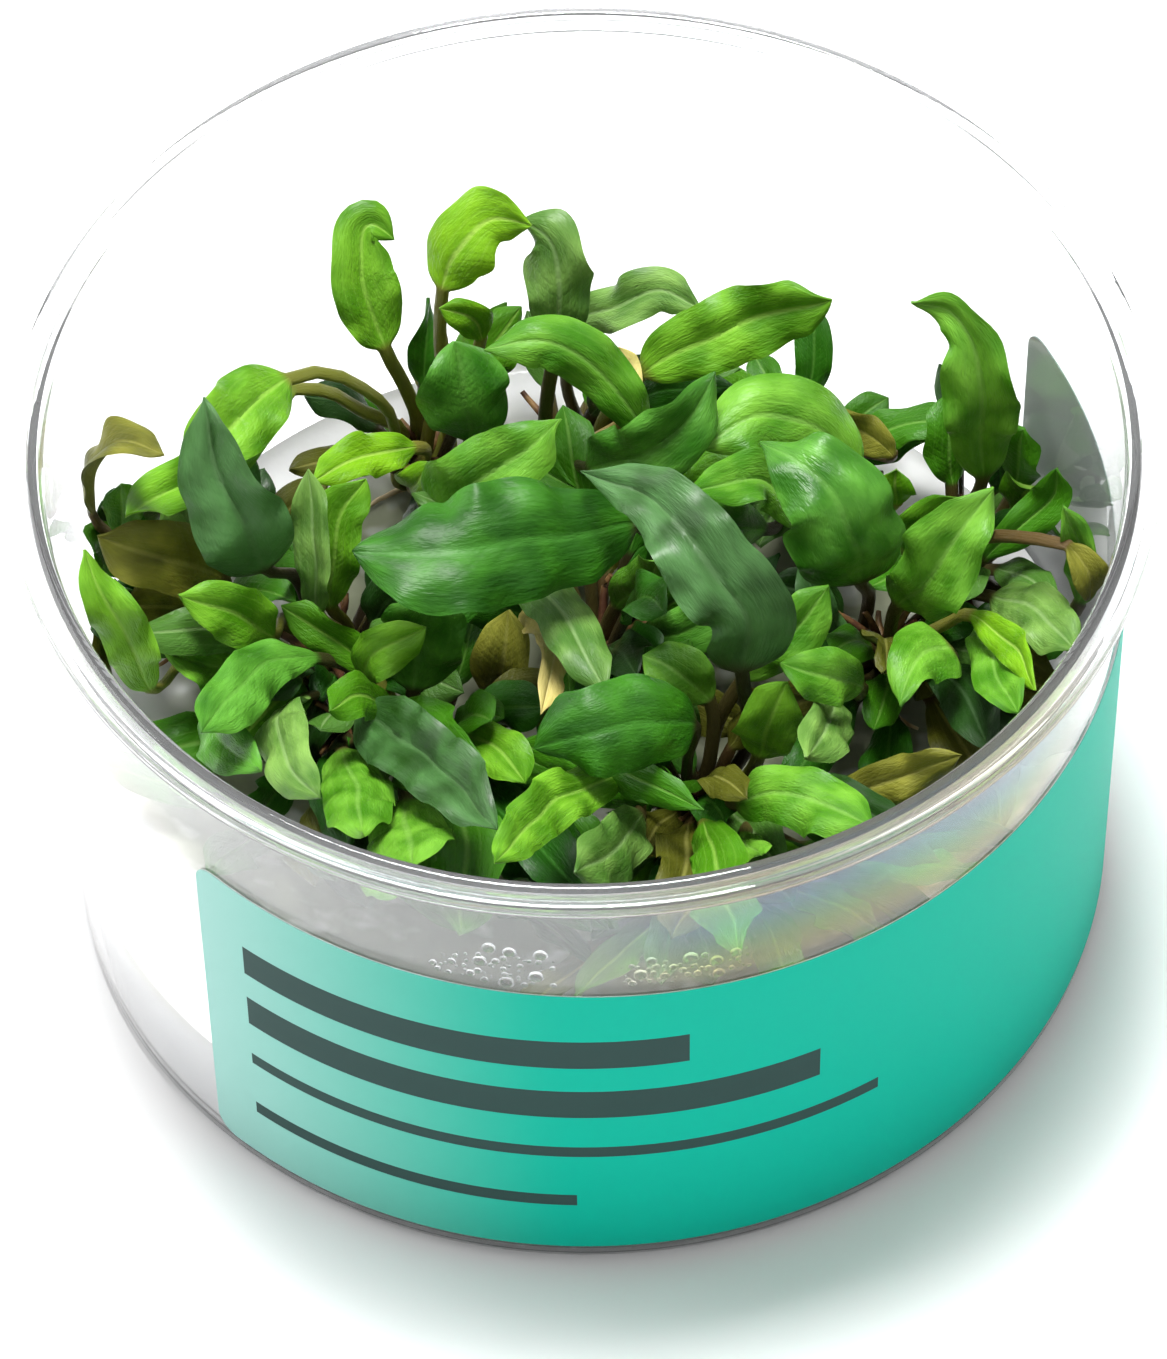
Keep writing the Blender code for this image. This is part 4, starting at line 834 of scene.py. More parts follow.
def attribute(tree, name):
    """What the mesh carries under a name at each corner."""
    return add(tree, "ShaderNodeAttribute", attribute_name=name).node.outputs["Fac"]


def own_place(tree):
    """The place on the object, in its own coordinates."""
    return add(tree, "ShaderNodeTexCoord").node.outputs["Object"]


def new_material(name, **values):
    """A material with a Principled shader and values for that shader's inputs, and its tree."""
    material = bpy.data.materials.new(name)
    material.use_nodes = True
    tree = material.node_tree
    for socket, value in values.items():
        tree.nodes["Principled BSDF"].inputs[socket.replace("_", " ")].default_value = value
    return material, tree


def joined(material, **sources):
    """The material, once sockets are joined to its shader's inputs."""
    tree = material.node_tree
    for socket, source in sources.items():
        tree.links.new(source, tree.nodes["Principled BSDF"].inputs[socket.replace("_", " ")])
    return material


def speckle(tree, size, detail=2.0):
    """Soft noise on the object's own coordinates, with patches about size millimetres across."""
    return add(tree, "ShaderNodeTexNoise", own_place(tree), 1 / (size * MM), detail)


@cache
def living_leaf(finish):
    """Young leaf tissue with a thin wax skin: green mottled with painted light and shade, arched veins from
    neck to tip, fine cross veins, a browner stalk and a paler underside."""
    look = TISSUES[finish]
    material, tree = new_material(
        f"living_leaf_{finish}", IOR=1.42, Specular_IOR_Level=0.3, Coat_Weight=look.wax, Coat_Roughness=0.38
    )
    across = calc(tree, "ABSOLUTE", attribute(tree, "across"))
    along = attribute(tree, "along")
    under = attribute(tree, "under")
    tone = attribute(tree, "tone")
    blade = soft_step(tree, along, 0.0, 0.08)
    # Streaks follow the blade, between softer patches a few millimetres wide
    across_streaks = calc(tree, "MULTIPLY", across, STREAKS_ACROSS)
    along_streaks = calc(tree, "MULTIPLY", along, STREAKS_ALONG)
    own_pattern = calc(tree, "MULTIPLY", tone, 90.0)
    grid = add(tree, "ShaderNodeCombineXYZ", across_streaks, along_streaks, own_pattern)
    streaks = add(tree, "ShaderNodeTexNoise", grid, 1.0, 2.0, 0.5)
    patches = calc(tree, "MULTIPLY_ADD", streaks, 0.35, tone)
    patches = calc(tree, "MULTIPLY_ADD", speckle(tree, 4.0, 1.0), 0.75, patches)
    # Painted light and shade: the streaks and patches mix each finish's shaded and sunlit colours
    sunlit = soft_step(tree, patches, 0.32, 0.84)
    colour = mix(tree, sunlit, colour_of(look.shaded), colour_of(look.sunlit))
    # Arched veins stand at a third and two thirds of the way from the midrib to the edge
    beside = calc(tree, "PINGPONG", across, VEIN_REPEAT)
    veins = soft_step(tree, beside, 0.05, 0.0)
    veins = calc(tree, "MULTIPLY", veins, add(tree, "ShaderNodeMapRange", along, 1.0, 0.6, 0.0, 0.22))
    ribs = soft_step(tree, across, 0.12, 0.02)
    marks = calc(tree, "MULTIPLY", calc(tree, "MAXIMUM", veins, ribs), blade)
    # Cross veins join them every millimetre or so, leaning towards the tip
    lean = calc(tree, "MULTIPLY", across, TIES_LEAN)
    lean = calc(tree, "MULTIPLY_ADD", along, TIES_ALONG, lean)
    ties = calc(tree, "ABSOLUTE", calc(tree, "SINE", lean))
    ties = calc(tree, "POWER", ties, 7.0)
    paints = ((marks, 0.35, look.vein), (ties, 0.08, look.shaded), (under, 0.6, look.back))
    for share, strength, paint in paints:
        share = calc(tree, "MULTIPLY", share, strength)
        colour = mix(tree, share, colour, colour_of(paint))
    colour = mix(tree, blade, colour_of(look.stalk), colour)
    grain = calc(tree, "MULTIPLY_ADD", streaks, 0.3, look.roughness - 0.15)
    # Rows of cells spread the shine into fine streaks
    cells = add(tree, "ShaderNodeTexNoise", grid, 8.0, 1.0)
    relief = calc(tree, "MULTIPLY", cells, 0.8)
    for height, strength in ((streaks, 1.8), (marks, -0.6), (ties, -0.15)):
        relief = calc(tree, "MULTIPLY_ADD", height, strength, relief)
    bump = add(tree, "ShaderNodeBump", 0.5, 0.22 * MM, None, relief)
    return joined(material, Base_Color=colour, Roughness=grain, Normal=bump)


@cache
def clear_polystyrene():
    """Clear polystyrene, injection moulded: a bright gloss, with faint stress colours of light painted into
    the wall.
    """
    settings = bpy.context.scene.culture_cup
    material, tree = new_material(
        "clear_moulded_polystyrene", Roughness=0.0, IOR=1.49, Transmission_Weight=0.94
    )
    x, y, height = add(tree, "ShaderNodeSeparateXYZ", own_place(tree)).node.outputs
    heading = calc(tree, "ARCTAN2", x, calc(tree, "MULTIPLY", y, -1.0))
    around, upwards = STRESS_FADE[0], STRESS_FADE[1] * MM
    # Painted iridescence: the stress colours that light shows in the strained wall are painted into its
    # colour
    painted_iridescence = 0.0
    for first, last, low, high, strength in STRESS_AREAS:
        area = strength
        sides = ((heading, first, around), (heading, last, -around))
        sides += ((height, low * MM, upwards), (height, high * MM, -upwards))
        for value, edge, fade in sides:
            inside = soft_step(tree, value, edge - fade, edge + fade)
            area = calc(tree, "MULTIPLY", inside, area)
        painted_iridescence = calc(tree, "MAXIMUM", area, painted_iridescence)
    # The strain grows upwards, so the colours lie in slightly wavy bands round the wall
    wander = calc(tree, "SINE", calc(tree, "MULTIPLY", heading, STRESS_WAVES))
    wander = calc(tree, "MULTIPLY_ADD", wander, STRESS_WANDER, STRESS_START)
    strain = calc(tree, "MULTIPLY_ADD", height, STRESS_REPEATS, wander)
    strain = calc(tree, "FRACT", strain)
    bands = add(tree, "ShaderNodeValToRGB", strain)
    ramp = bands.node.color_ramp
    ramp.elements[0].color = ramp.elements[1].color = colour_of(STRESS_COLOURS[0])
    for number, paint in enumerate(STRESS_COLOURS[1:], 1):
        ramp.elements.new(number / len(STRESS_COLOURS)).color = colour_of(paint)
    return joined(material, Base_Color=mix(tree, painted_iridescence, settings.tint, bands))


@cache
def agar_gel():
    """Agar gel, poured and set: clouded and moist, with a soft skin and painted shade under the plants."""
    settings = bpy.context.scene.culture_gel
    material, tree = new_material("poured_agar_gel", IOR=1.34, Transmission_Weight=settings.clarity)
    # Painted shade: the gel is darker in patches under the plants, where their leaves shade it
    level = add(tree, "ShaderNodeVectorMath", own_place(tree), (1.0, 1.0, 0.0), operation="MULTIPLY")
    reach = add(tree, "ShaderNodeVectorMath", level, operation="LENGTH")
    planted = soft_step(tree, reach, SHADE_EDGE * MM, SHADE_HEART * MM, 0.0, SHADE_SHARE)
    plant_shade = soft_step(tree, speckle(tree, 5.0), 0.2, 0.46)
    plant_shade = calc(tree, "MULTIPLY", plant_shade, planted)
    colour = mix(tree, plant_shade, settings.tint, settings.plant_shade)
    grain = calc(tree, "MULTIPLY_ADD", speckle(tree, 2.0), 0.15, 0.12)
    bump = add(tree, "ShaderNodeBump", 0.3, 0.2 * MM, None, speckle(tree, 1.6))
    return joined(material, Base_Color=colour, Roughness=grain, Normal=bump)


@cache
def printed_film():
    """Printed label film with a satin varnish: even ink with plain darker bars, a painted reflection and a
    pale back.
    """
    settings = bpy.context.scene.culture_label
    material, tree = new_material("printed_polypropylene_film", Roughness=0.45, Specular_IOR_Level=0.05)
    across = attribute(tree, "across")
    along = attribute(tree, "along")
    under = attribute(tree, "under")
    bars = 0.0
    for low, high, start, end in LABEL_BARS:
        bar = 1.0
        for value, edge, side in (
            (across, low, "GREATER_THAN"), (across, high, "LESS_THAN"),
            (along, start, "GREATER_THAN"), (along, end, "LESS_THAN"),
        ):
            bar = calc(tree, "MULTIPLY", calc(tree, side, value, edge), bar)
        bars = calc(tree, "MAXIMUM", bar, bars)
    # Painted reflection: a whitish reflection of light from the left is painted over the print towards the
    # label's start
    painted_reflection = soft_step(tree, along, LABEL_REFLECTION_FROM, LABEL_REFLECTION_MOST, 0.0, LABEL_REFLECTION_STRENGTH)
    colour = mix(tree, painted_reflection, settings.colour, colour_of(LABEL_REFLECTION_COLOUR))
    colour = mix(tree, bars, colour, settings.mark_colour)
    return joined(material, Base_Color=mix(tree, under, colour, colour_of(LABEL_BACK_COLOUR)))


@cache
def water():
    """Condensed water: round, clear beads."""
    return new_material("condensed_water", Roughness=0.0, IOR=1.333, Transmission_Weight=1.0)[0]


def rough_tissue(name, roughness, first, second, size, relief, fineness):
    """Mottled plant tissue in two colours, with patches and relief of a size in millimetres."""
    material, tree = new_material(name, Roughness=roughness)
    patches = soft_step(tree, speckle(tree, size), 0.4, 0.7)
    bump = add(tree, "ShaderNodeBump", 0.5, relief * MM, None, speckle(tree, fineness))
    return joined(material, Base_Color=mix(tree, patches, first, second), Normal=bump)


@cache
def root_tissue():
    """Young root, pale and slightly furry, browner in patches."""
    settings = bpy.context.scene.culture_plants
    return rough_tissue("young_root", 0.55, settings.root_colour, colour_of("8E6A43"), 2.5, 0.1, 0.4)


@cache
def old_stalk():
    """Old stalk, drying: reddish brown with paler streaks."""
    return rough_tissue("drying_stalk", 0.55, colour_of("4A2A17"), colour_of("8A6A3E"), 1.8, 0.15, 0.5)


@cache
def rhizome_tissue():
    """Short rhizome, scarred where old leaves stood: brown with green patches."""
    return rough_tissue("scarred_rhizome", 0.6, colour_of("6E5530"), colour_of("4F5A26"), 1.2, 0.2, 0.6)


# Making pieces


def kept_inside(point, margin):
    """Whether a point had to be moved in, to stay a margin in millimetres off the wall."""
    limit = inner_radius(point.z) - margin
    reach = hypot(point.x, point.y)
    if reach > limit:
        point.xy = point.xy * limit / reach
    return reach > limit


def finish(piece, slot, *nodes):
    """The piece rides on the cup and stands for its nodes. Its slot is not used."""
    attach(piece, "root")
    if nodes:
        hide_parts(*nodes)


def deselect():
    bpy.ops.object.select_all(action="DESELECT")


class Tissues:
    """Faces gathered for one piece, with what its materials read at each corner."""

    def __init__(self):
        self.places = []
        self.faces = []
        self.slots = []
        self.materials = []
        self.reads = {"across": [], "along": [], "under": [], "tone": []}

    def ring(self, places, **reads):
        """Adds corners and returns their numbers."""
        first = len(self.places)
        self.places += places
        for name, values in self.reads.items():
            given = reads.get(name, 0.0)
            values += given if isinstance(given, list) else [given] * len(places)
        return list(range(first, len(self.places)))

    def skin(self, rings, material):
        """Closes a body through rings of the same count."""
        if material not in self.materials:
            self.materials.append(material)
        slot = self.materials.index(material)
        count = len(rings[0])
        faces = [tuple(reversed(rings[0])), tuple(rings[-1])]
        for near, far in zip(rings, rings[1:]):
            for j in range(count):
                k = (j + 1) % count
                faces.append((near[j], near[k], far[k], far[j]))
        self.faces += faces
        self.slots += [slot] * len(faces)

    def piece(self, name):
        mesh = bpy.data.meshes.new(name)
        mesh.from_pydata([place * MM for place in self.places], [], self.faces)
        for material in self.materials:
            mesh.materials.append(material)
        mesh.polygons.foreach_set("material_index", self.slots)
        for read, values in self.reads.items():
            mesh.attributes.new(read, "FLOAT", "POINT").data.foreach_set("value", values)
        shape = bmesh.new()
        shape.from_mesh(mesh)
        bmesh.ops.recalc_face_normals(shape, faces=shape.faces)
        shape.to_mesh(mesh)
        shape.free()
        mesh.shade_smooth()
        mesh.set_sharp_from_angle(angle=radians(CRISP_GROWN))
        piece = bpy.data.objects.new(name, mesh)
        bpy.context.scene.collection.objects.link(piece)
        return piece


def between(values, position):
    """A smooth value at a position along a list of vectors, counted in its items."""
    i = min(int(position), len(values) - 2)
    t = position - i
    a, b = values[i], values[i + 1]
    slope_a = (b - values[i - 1]) / 2 if i else b - a
    slope_b = (values[i + 2] - a) / 2 if i + 2 < len(values) else b - a
    start, leaving, end, arriving = shares_of(t)
    return a * start + slope_a * leaving + b * end + slope_b * arriving


def blade_half(leaf, share, unevenness):
    """Half the finished blade's width on one side: a strap drawn out at its base and pointed at its tip."""
    t = clamp(share, 0.0, 1.0)
    rise = opening(leaf, t) ** (leaf.blunt * (BASE_TAPER if t < leaf.fullest else TIP_TAPER))
    point = min((1 - t) / TIP_SHARE, 1.0) ** 0.45
    blade = leaf.width * FINE_FULLNESS / 2 * rise * point * (1 + unevenness)
    return max(blade, STALK_WIDTH / 2 * (1 - 2.5 * t), 0.04)


def shoot_of(crown, fan, chance):
    """A short leaf that leans out of a plantlet's foot and opens towards the light."""
    x, y = CROWNS[crown]
    heading = radians(chance.uniform(fan.first, fan.last))
    reach = chance.uniform(fan.near, fan.far)
    rise = chance.uniform(fan.low, fan.high)
    outwards = level_way(heading)
    foot = Vector((x, y, FOOT_HEIGHT)) + outwards * SHOOT_START
    points = [foot]
    sway = chance.uniform(-SHOOT_SWAY, SHOOT_SWAY) * reach
    for share, lift in ((0.3, 0.5), (0.65, 0.85), (1.0, 1.0)):
        point = foot + outwards * reach * share
        point += Vector((-outwards.y, outwards.x, 0.0)) * sway * share**2
        point.z += rise * lift
        kept_inside(point, SHOOT_MARGIN)
        points.append(point)
    width = chance.uniform(*SHOOT_WIDTHS) * (1 + reach / 60)
    return Leaf(
        crown, False, chance.choice(SHOOT_FINISHES), width, chance.uniform(0.42, 0.58), 0.8,
        chance.uniform(-35.0, 35.0), chance.uniform(-50.0, 50.0), chance.uniform(-0.3, 0.35), 0.2, 0, points,
    )


def blade_room(leaf, curve):
    """The room of a leaf beyond its neck, since stalks crowd together and bend past each other."""
    rows = [row for row in leaf_rows(leaf, curve) if row.share > 0]
    return room_of(rings_of(rows), leaf.crown, False)


@cache
def shoots():
    """Short leaves under the grown ones, each tried until it has room."""
    chance = Random(SHOOT_SEED)
    rooms = [blade_room(leaf, curve) for leaf, curve in zip(LEAVES, grown_midribs())]
    found = []
    for crown in CROWNS:
        for fan in (ROUND_FAN, *WIDE_FANS[crown]):
            for _ in range(fan.count):
                for _ in range(SHOOT_TRIES):
                    leaf = shoot_of(crown, fan, chance)
                    room = blade_room(leaf, Curve(leaf.points))
                    if not any(touch(room, other) for other in rooms):
                        found.append(leaf)
                        rooms.append(room)
                        break
    return found


def grow_shoots(body, crown, chance):
    """Short leaves and old stalks that fill the foot of a plantlet."""
    x, y = CROWNS[crown]
    for number, leaf in enumerate(shoots()):
        if leaf.crown == crown:
            grow_leaf(body, leaf, Curve(leaf.points), 100 + number, SHOOT_MESH, SHOOT_PAINTED_SHADE)
    for _ in range(STUBS_PER_CROWN):
        heading = radians(chance.uniform(0.0, 360.0))
        reach = chance.uniform(2.0, 8.0)
        rise = chance.uniform(1.0, 8.0)
        start = Vector((x, y, 14.5))
        outwards = level_way(heading)
        points = []
        for i in range(STUB_STEPS + 1):
            t = i / STUB_STEPS
            sway = noise.noise(Vector((x + t * 2, y, reach))) * 0.8
            point = start + outwards * reach * t + Vector((sway, -sway, rise * sqrt(t)))
            points.append(point)
        radii = [STUB_RADIUS * (1 - 0.5 * i / STUB_STEPS) for i in range(STUB_STEPS + 1)]
        tube(body, points, radii, old_stalk())


def frame_at(curve, distance, up, twist):
    """The directions along a midrib, across it and out of its upper side, twisted by an angle in radians."""
    step = curve.marks[-1] * 0.004
    along = (curve.at(distance + step) - curve.at(distance - step)).normalized()
    up = (up - along * up.dot(along)).normalized()
    side = along.cross(up)
    return along, side * cos(twist) + up * sin(twist), up * cos(twist) - side * sin(twist)


def turning_at(curve, distance, along, side):
    """How much a midrib turns to one side around a distance along it."""
    middle = curve.at(distance)
    ahead = behind = along
    if distance < curve.marks[-1] - BEND_SPAN:
        ahead = (curve.at(distance + BEND_SPAN) - middle).normalized()
    if distance > BEND_SPAN:
        behind = (middle - curve.at(distance - BEND_SPAN)).normalized()
    return (ahead - behind).dot(side)


def uneven_halves(leaf, share, distance, turning, seed):
    """A blade's width on its left and on its right, uneven, and less inside a bend so that no fold forms."""
    halves = []
    for sign in (-1.0, 1.0):
        odd = UNEVENNESS * noise.noise(seed + Vector((share * 3.0, sign * 5.0, 2.0)))
        odd += EDGE_FLAWS * noise.noise(seed + Vector((distance / 2.4, sign * 3.0, 0.0)))
        half = blade_half(leaf, share, odd * min(4 * share, 1.0))
        inside = BEND_NARROWING / BEND_SPAN * max(sign * turning, 0.0) * half
        halves.append(half / sqrt(1 + inside**2))
    return halves


def lift_at(leaf, u, half, share, distance, phase, seed):
    """How far a blade stands above its midrib at a side from -1 to 1: its fold, arch, waves and dents."""
    ruffle = bpy.context.scene.culture_plants.ruffle / MM
    size = abs(u)
    opened = min(3 * share, 1.0)
    shift = WAVE_SHIFT if u > 0 else 0.0
    wave = leaf.wave * sin(2 * pi * (WAVES_PER_BLADE * share + shift))
    lift = opened * (leaf.fold * half * sqrt(size * size + 0.01) + wave * size * size)
    lift += opened * ARCH * half * sin(pi * size)
    small = sin(phase + (1.9 if u > 0 else 0.0))
    small *= 0.8 + 1.2 * noise.noise(seed + Vector((share * 3, 0.0, 1.0 if u > 0 else 0.0)))
    lift += opened * ruffle * size**2 * small * min(half / 2, 1.2) * (1 - 0.4 * share)
    return lift + opened * DENTS * size * noise.noise(seed + Vector((u * half / 3.0, distance / 3.0, 0.0)))


def sheath_rings(leaf, curve, first_ring):
    """Rings that carry a stalk's first ring down into the plantlet's heart."""
    x, y = CROWNS[leaf.crown]
    heart = Vector((x, y, GEL_TOP + 1.0))
    foot = curve.at(0.0)
    along = (curve.at(curve.marks[-1] * 0.01) - foot).normalized()
    reach = foot - along * (foot - heart).length * 0.45
    rings = []
    for k in range(SHEATH_ROWS):
        t = k / SHEATH_ROWS
        centre = heart * (1 - t) ** 2 + reach * 2 * t * (1 - t) + foot * t**2
        swell = 1 + 0.5 * (1 - t)
        rings.append([centre + (corner - foot) * swell for corner in first_ring])
    return rings


def grow_leaf(body, leaf, curve, number, mesh=GROWN_MESH, shade=0.0):
    """A finished leaf: a flattened sheath, a round stalk and a thin blade with a rib, veins and waves."""
    settings = bpy.context.scene.culture_plants
    rows = leaf_rows(leaf, curve)
    ups = [row.face for row in rows]
    stalk_rows = sum(1 for row in rows if row.share <= 0) - 1
    blade_rows = len(rows) - 1 - stalk_rows
    neck = curve.marks[leaf.stalk_points + 1]
    end = curve.marks[-1]
    seed = Vector((number * 7.3, number * 3.1, number * 5.7))
    # Painted shade: short leaves under the grown ones get a deeper tone, towards their shaded colour
    tone = TONES * noise.noise(seed) - shade
    waves = (end - neck) / RUFFLE_LENGTH
    columns = [2 * j / mesh.across - 1 for j in range(mesh.across + 1)]
    across = columns + columns[-2:0:-1]
    unders = [0.0] * len(columns) + [1.0] * (mesh.across - 1)
    rings = []
    for k in range(mesh.stalk + mesh.blade + 1):
        if k < mesh.stalk:
            distance = neck * k / mesh.stalk
            position = stalk_rows * k / mesh.stalk
        else:
            t = (k - mesh.stalk) / mesh.blade
            distance = neck + (end - neck) * t
            position = stalk_rows + blade_rows * t
        share = clamp((distance - neck) / (end - neck), 0.0, 1.0)
        twist = radians(TIP_TWIST) * noise.noise(seed + Vector((0.0, 4.0, share * 1.5))) * 2 * share**1.5
        along, side, up = frame_at(curve, distance, between(ups, position), twist)
        turning = turning_at(curve, distance, along, side)
        bend = noise.noise(seed + Vector((distance / 7.0, 9.0, 0.0)))
        middle = curve.at(distance) + side * bend * MIDRIB_BENDS * sin(pi * clamp(share * 0.9, 0.0, 1.0))
        halves = uneven_halves(leaf, share, distance, turning, seed)
        opened = min(3 * share, 1.0)
        flat = clamp(share / FLATTENING, 0.0, 1.0)
        flat = flat * flat * (3 - 2 * flat)
        stalk_half = STALK_THICKNESS / 2 * (1 - STALK_THINNING * min(distance / neck, 1.0))
        rib = settings.rib / MM * (1 - share) ** 0.8
        phase = 2 * pi * waves * share + number * 2.4
        top = []
        bottom = []
        for u in columns:
            half = halves[u > 0]
            lift = lift_at(leaf, u, half, share, distance, phase, seed)
            centre = exp(-((u * half / RIB_REACH) ** 2))
            round_off = sqrt(max(1 - u**2, 0.0))
            thin = FINE_THICKNESS / 2 * sqrt(max(1 - u**14, 0.0))
            over = stalk_half * round_off * (1 - flat) + (thin - GROOVE * centre * (1 - share)) * flat
            below = stalk_half * round_off * (1 - flat) + (thin + rib * centre) * flat
            place = middle + side * (u * half / sqrt(1 + (leaf.fold * opened) ** 2)) + up * lift
            top.append(place + up * over)
            bottom.append(place - up * below)
        rings.append((top + bottom[-2:0:-1], share if share > 0 else distance / neck - 1))
    rings = [(ring, -1.0) for ring in sheath_rings(leaf, curve, rings[0][0])] + rings
    numbers = []
    for ring, place_along in rings:
        numbers.append(body.ring(ring, across=across, along=place_along, under=unders, tone=tone))
    body.skin(numbers, living_leaf(leaf.finish))


def tube(body, points, radii, material):
    """A round body along points, with a radius at each."""
    rings = []
    slant = Vector((0.31, 0.52, 0.79))
    for i, (point, radius) in enumerate(zip(points, radii)):
        along = (points[min(i + 1, len(points) - 1)] - points[max(i - 1, 0)]).normalized()
        side = along.cross(slant).normalized()
        up = side.cross(along)
        ring = [point + (side * cos(turn) + up * sin(turn)) * radius for turn in turns(TUBE_SIDES)]
        rings.append(body.ring(ring, along=i / (len(points) - 1)))
    body.skin(rings, material)


def root_route(chance, start, heading, reach, fall, lowest, steps=16):
    """Points of a root that wanders outwards while it sinks."""
    points = []
    bend = 0.0
    place = start.copy()
    angle = heading
    for _ in range(steps):
        points.append(place.copy())
        bend = clamp(bend + chance.gauss(0.0, ROOT_TURN), -ROOT_MOST_TURN, ROOT_MOST_TURN)
        angle += bend * 0.35
        step = reach / steps
        place += level_way(radians(angle)) * step
        place.z = max(place.z - fall / steps + chance.gauss(0.0, 0.06), lowest)
        if kept_inside(place, ROOT_MARGIN):
            angle += ROOT_TURN_AWAY
    return points


def grow_crown(body, name, chance):
    """A knobby upright rhizome with roots that lie on the gel and others that sink into it."""
    x, y = CROWNS[name]
    rings = []
    for i in range(CROWN_ROWS + 1):
        t = i / CROWN_ROWS
        height = CROWN_FOOT + (CROWN_TOP - CROWN_FOOT) * t
        swell = sin(pi * min(t * 0.55 + 0.12, 1.0)) ** 0.7 * (1 - max(t - 0.9, 0.0) * 6)
        ring = []
        for angle in turns(CROWN_SIDES):
            bulge = noise.noise(Vector((cos(angle) * 1.5, sin(angle) * 1.5, height * 0.8 + x)))
            scar = 0.07 * sin(height * 4.2 + sin(angle))
            radius = CROWN_RADIUS * max(swell * (1 + 0.16 * bulge + scar), 0.08)
            ring.append(Vector((x + radius * cos(angle), y + radius * sin(angle), height)))
        rings.append(body.ring(ring, along=t))
    body.skin(rings, rhizome_tissue())
    for heading, reach in ROOTS[name]:
        start = Vector((x, y, ROOT_REST - 0.3))
        points = root_route(chance, start, heading, reach, -0.2, ROOT_REST - 0.3)
        radii = [ROOT_RADIUS * (1 - 0.6 * i / len(points)) for i in range(len(points))]
        tube(body, points, radii, root_tissue())
    for _ in range(SINKING_ROOTS):
        start = Vector((x, y, chance.uniform(9.5, 12.8)))
        fall = chance.uniform(2.0, 9.5)
        heading = chance.uniform(0.0, 360.0)
        reach = chance.uniform(7.0, 17.0)
        points = root_route(chance, start, heading, reach, fall, 2.2, 22)
        thick = chance.uniform(0.16, 0.32)
        radii = [thick * (1 - 0.65 * i / len(points)) for i in range(len(points))]
        tube(body, points, radii, root_tissue())


# Pieces


def raise_rings(profile):
    """Shapes a flat disc, selected in edit mode, into a turned body by extruding and sizing its face."""
    for (radius, height), (next_radius, next_height) in zip(profile, profile[1:]):
        bpy.ops.mesh.extrude_region_move(
            TRANSFORM_OT_translate={"value": (0.0, 0.0, (next_height - height) * MM)}
        )
        size = next_radius / radius
        bpy.ops.transform.resize(value=(size, size, 1.0), center_override=(0.0, 0.0, 0.0))


def turn_body(name, profile, sides, material):
    """A body of revolution, pulled up from a disc at the profile's first radius and height."""
    deselect()
    bpy.ops.mesh.primitive_circle_add(
        vertices=sides, radius=profile[0][0] * MM, fill_type="NGON", location=(0.0, 0.0, profile[0][1] * MM)
    )
    piece = bpy.context.object
    piece.name = name
    piece.data.name = name
    bpy.ops.object.transform_apply(location=True, rotation=False, scale=False)
    bpy.ops.object.mode_set(mode="EDIT")
    bpy.ops.mesh.select_all(action="SELECT")
    raise_rings(profile)
    bpy.ops.mesh.select_all(action="SELECT")
    bpy.ops.mesh.normals_make_consistent(inside=False)
    bpy.ops.object.mode_set(mode="OBJECT")
    bpy.ops.object.shade_smooth_by_angle(angle=radians(CRISP_TURNED))
    piece.data.materials.append(material)
    return piece


class CULTURE_CUP_OT_cup(bpy.types.Operator):
    """Pull the clear cup up from its base: wall, flange with its lip, and floor"""

    bl_idname = "culture_cup.cup"
    bl_label = "Make cup"

    def execute(self, context):
        settings = context.scene.culture_cup
        under = CUP_HEIGHT - FLANGE_THICKNESS
        low = CUP_HEIGHT - RIM_LIP_HEIGHT
        lip = RIM_RADIUS - RIM_LIP_THICKNESS
        profile = (
            (WALL_BASE_RADIUS - 3.4, 0.35),
            (WALL_BASE_RADIUS - 3.0, 0.0),
            (WALL_BASE_RADIUS - 1.5, 0.0),
            (WALL_BASE_RADIUS - 0.8, 0.2),
            (WALL_BASE_RADIUS - 0.25, 0.65),
            (wall_radius(1.4), 1.4),
            (wall_radius(20.0), 20.0),
            (wall_radius(40.0), 40.0),
            (wall_radius(under - 0.8), under - 0.8),
            (wall_radius(under) + 0.2, under - 0.2),
            (wall_radius(under) + 0.7, under),
            (lip - 0.2, under),
            (lip, under - 0.2),
            (lip, low + 0.1),
            (lip + 0.15, low),
            (RIM_RADIUS - 0.2, low),
            (RIM_RADIUS, low + 0.2),
            (RIM_RADIUS, CUP_HEIGHT - 0.45),
            (RIM_RADIUS - 0.15, CUP_HEIGHT - 0.12),
            (RIM_RADIUS - 0.45, CUP_HEIGHT),
            (RIM_RADIUS - 0.9, CUP_HEIGHT - 0.1),
            (RIM_RADIUS - 1.1, CUP_HEIGHT - 0.3),
            (RIM_INNER_RADIUS + 0.7, CUP_HEIGHT - 0.3),
            (RIM_INNER_RADIUS + 0.45, CUP_HEIGHT - 0.1),
            (RIM_INNER_RADIUS + 0.15, CUP_HEIGHT),
            (RIM_INNER_RADIUS - 0.25, CUP_HEIGHT - 0.1),
            (RIM_INNER_RADIUS - 0.5, CUP_HEIGHT - 0.5),
            (inner_radius(under - 1.0), under - 1.0),
            (inner_radius(40.0), 40.0),
            (inner_radius(20.0), 20.0),
            (inner_radius(3.2), 3.2),
            (inner_radius(2.0) - 0.25, 2.0),
            (inner_radius(2.0) - 0.9, FLOOR_THICKNESS + 0.25),
            (inner_radius(2.0) - 1.8, FLOOR_THICKNESS),
        )
        cup = turn_body("clear_cup", profile, settings.sides, clear_polystyrene())
        finish(cup, "cup", "cup")
        return {"FINISHED"}


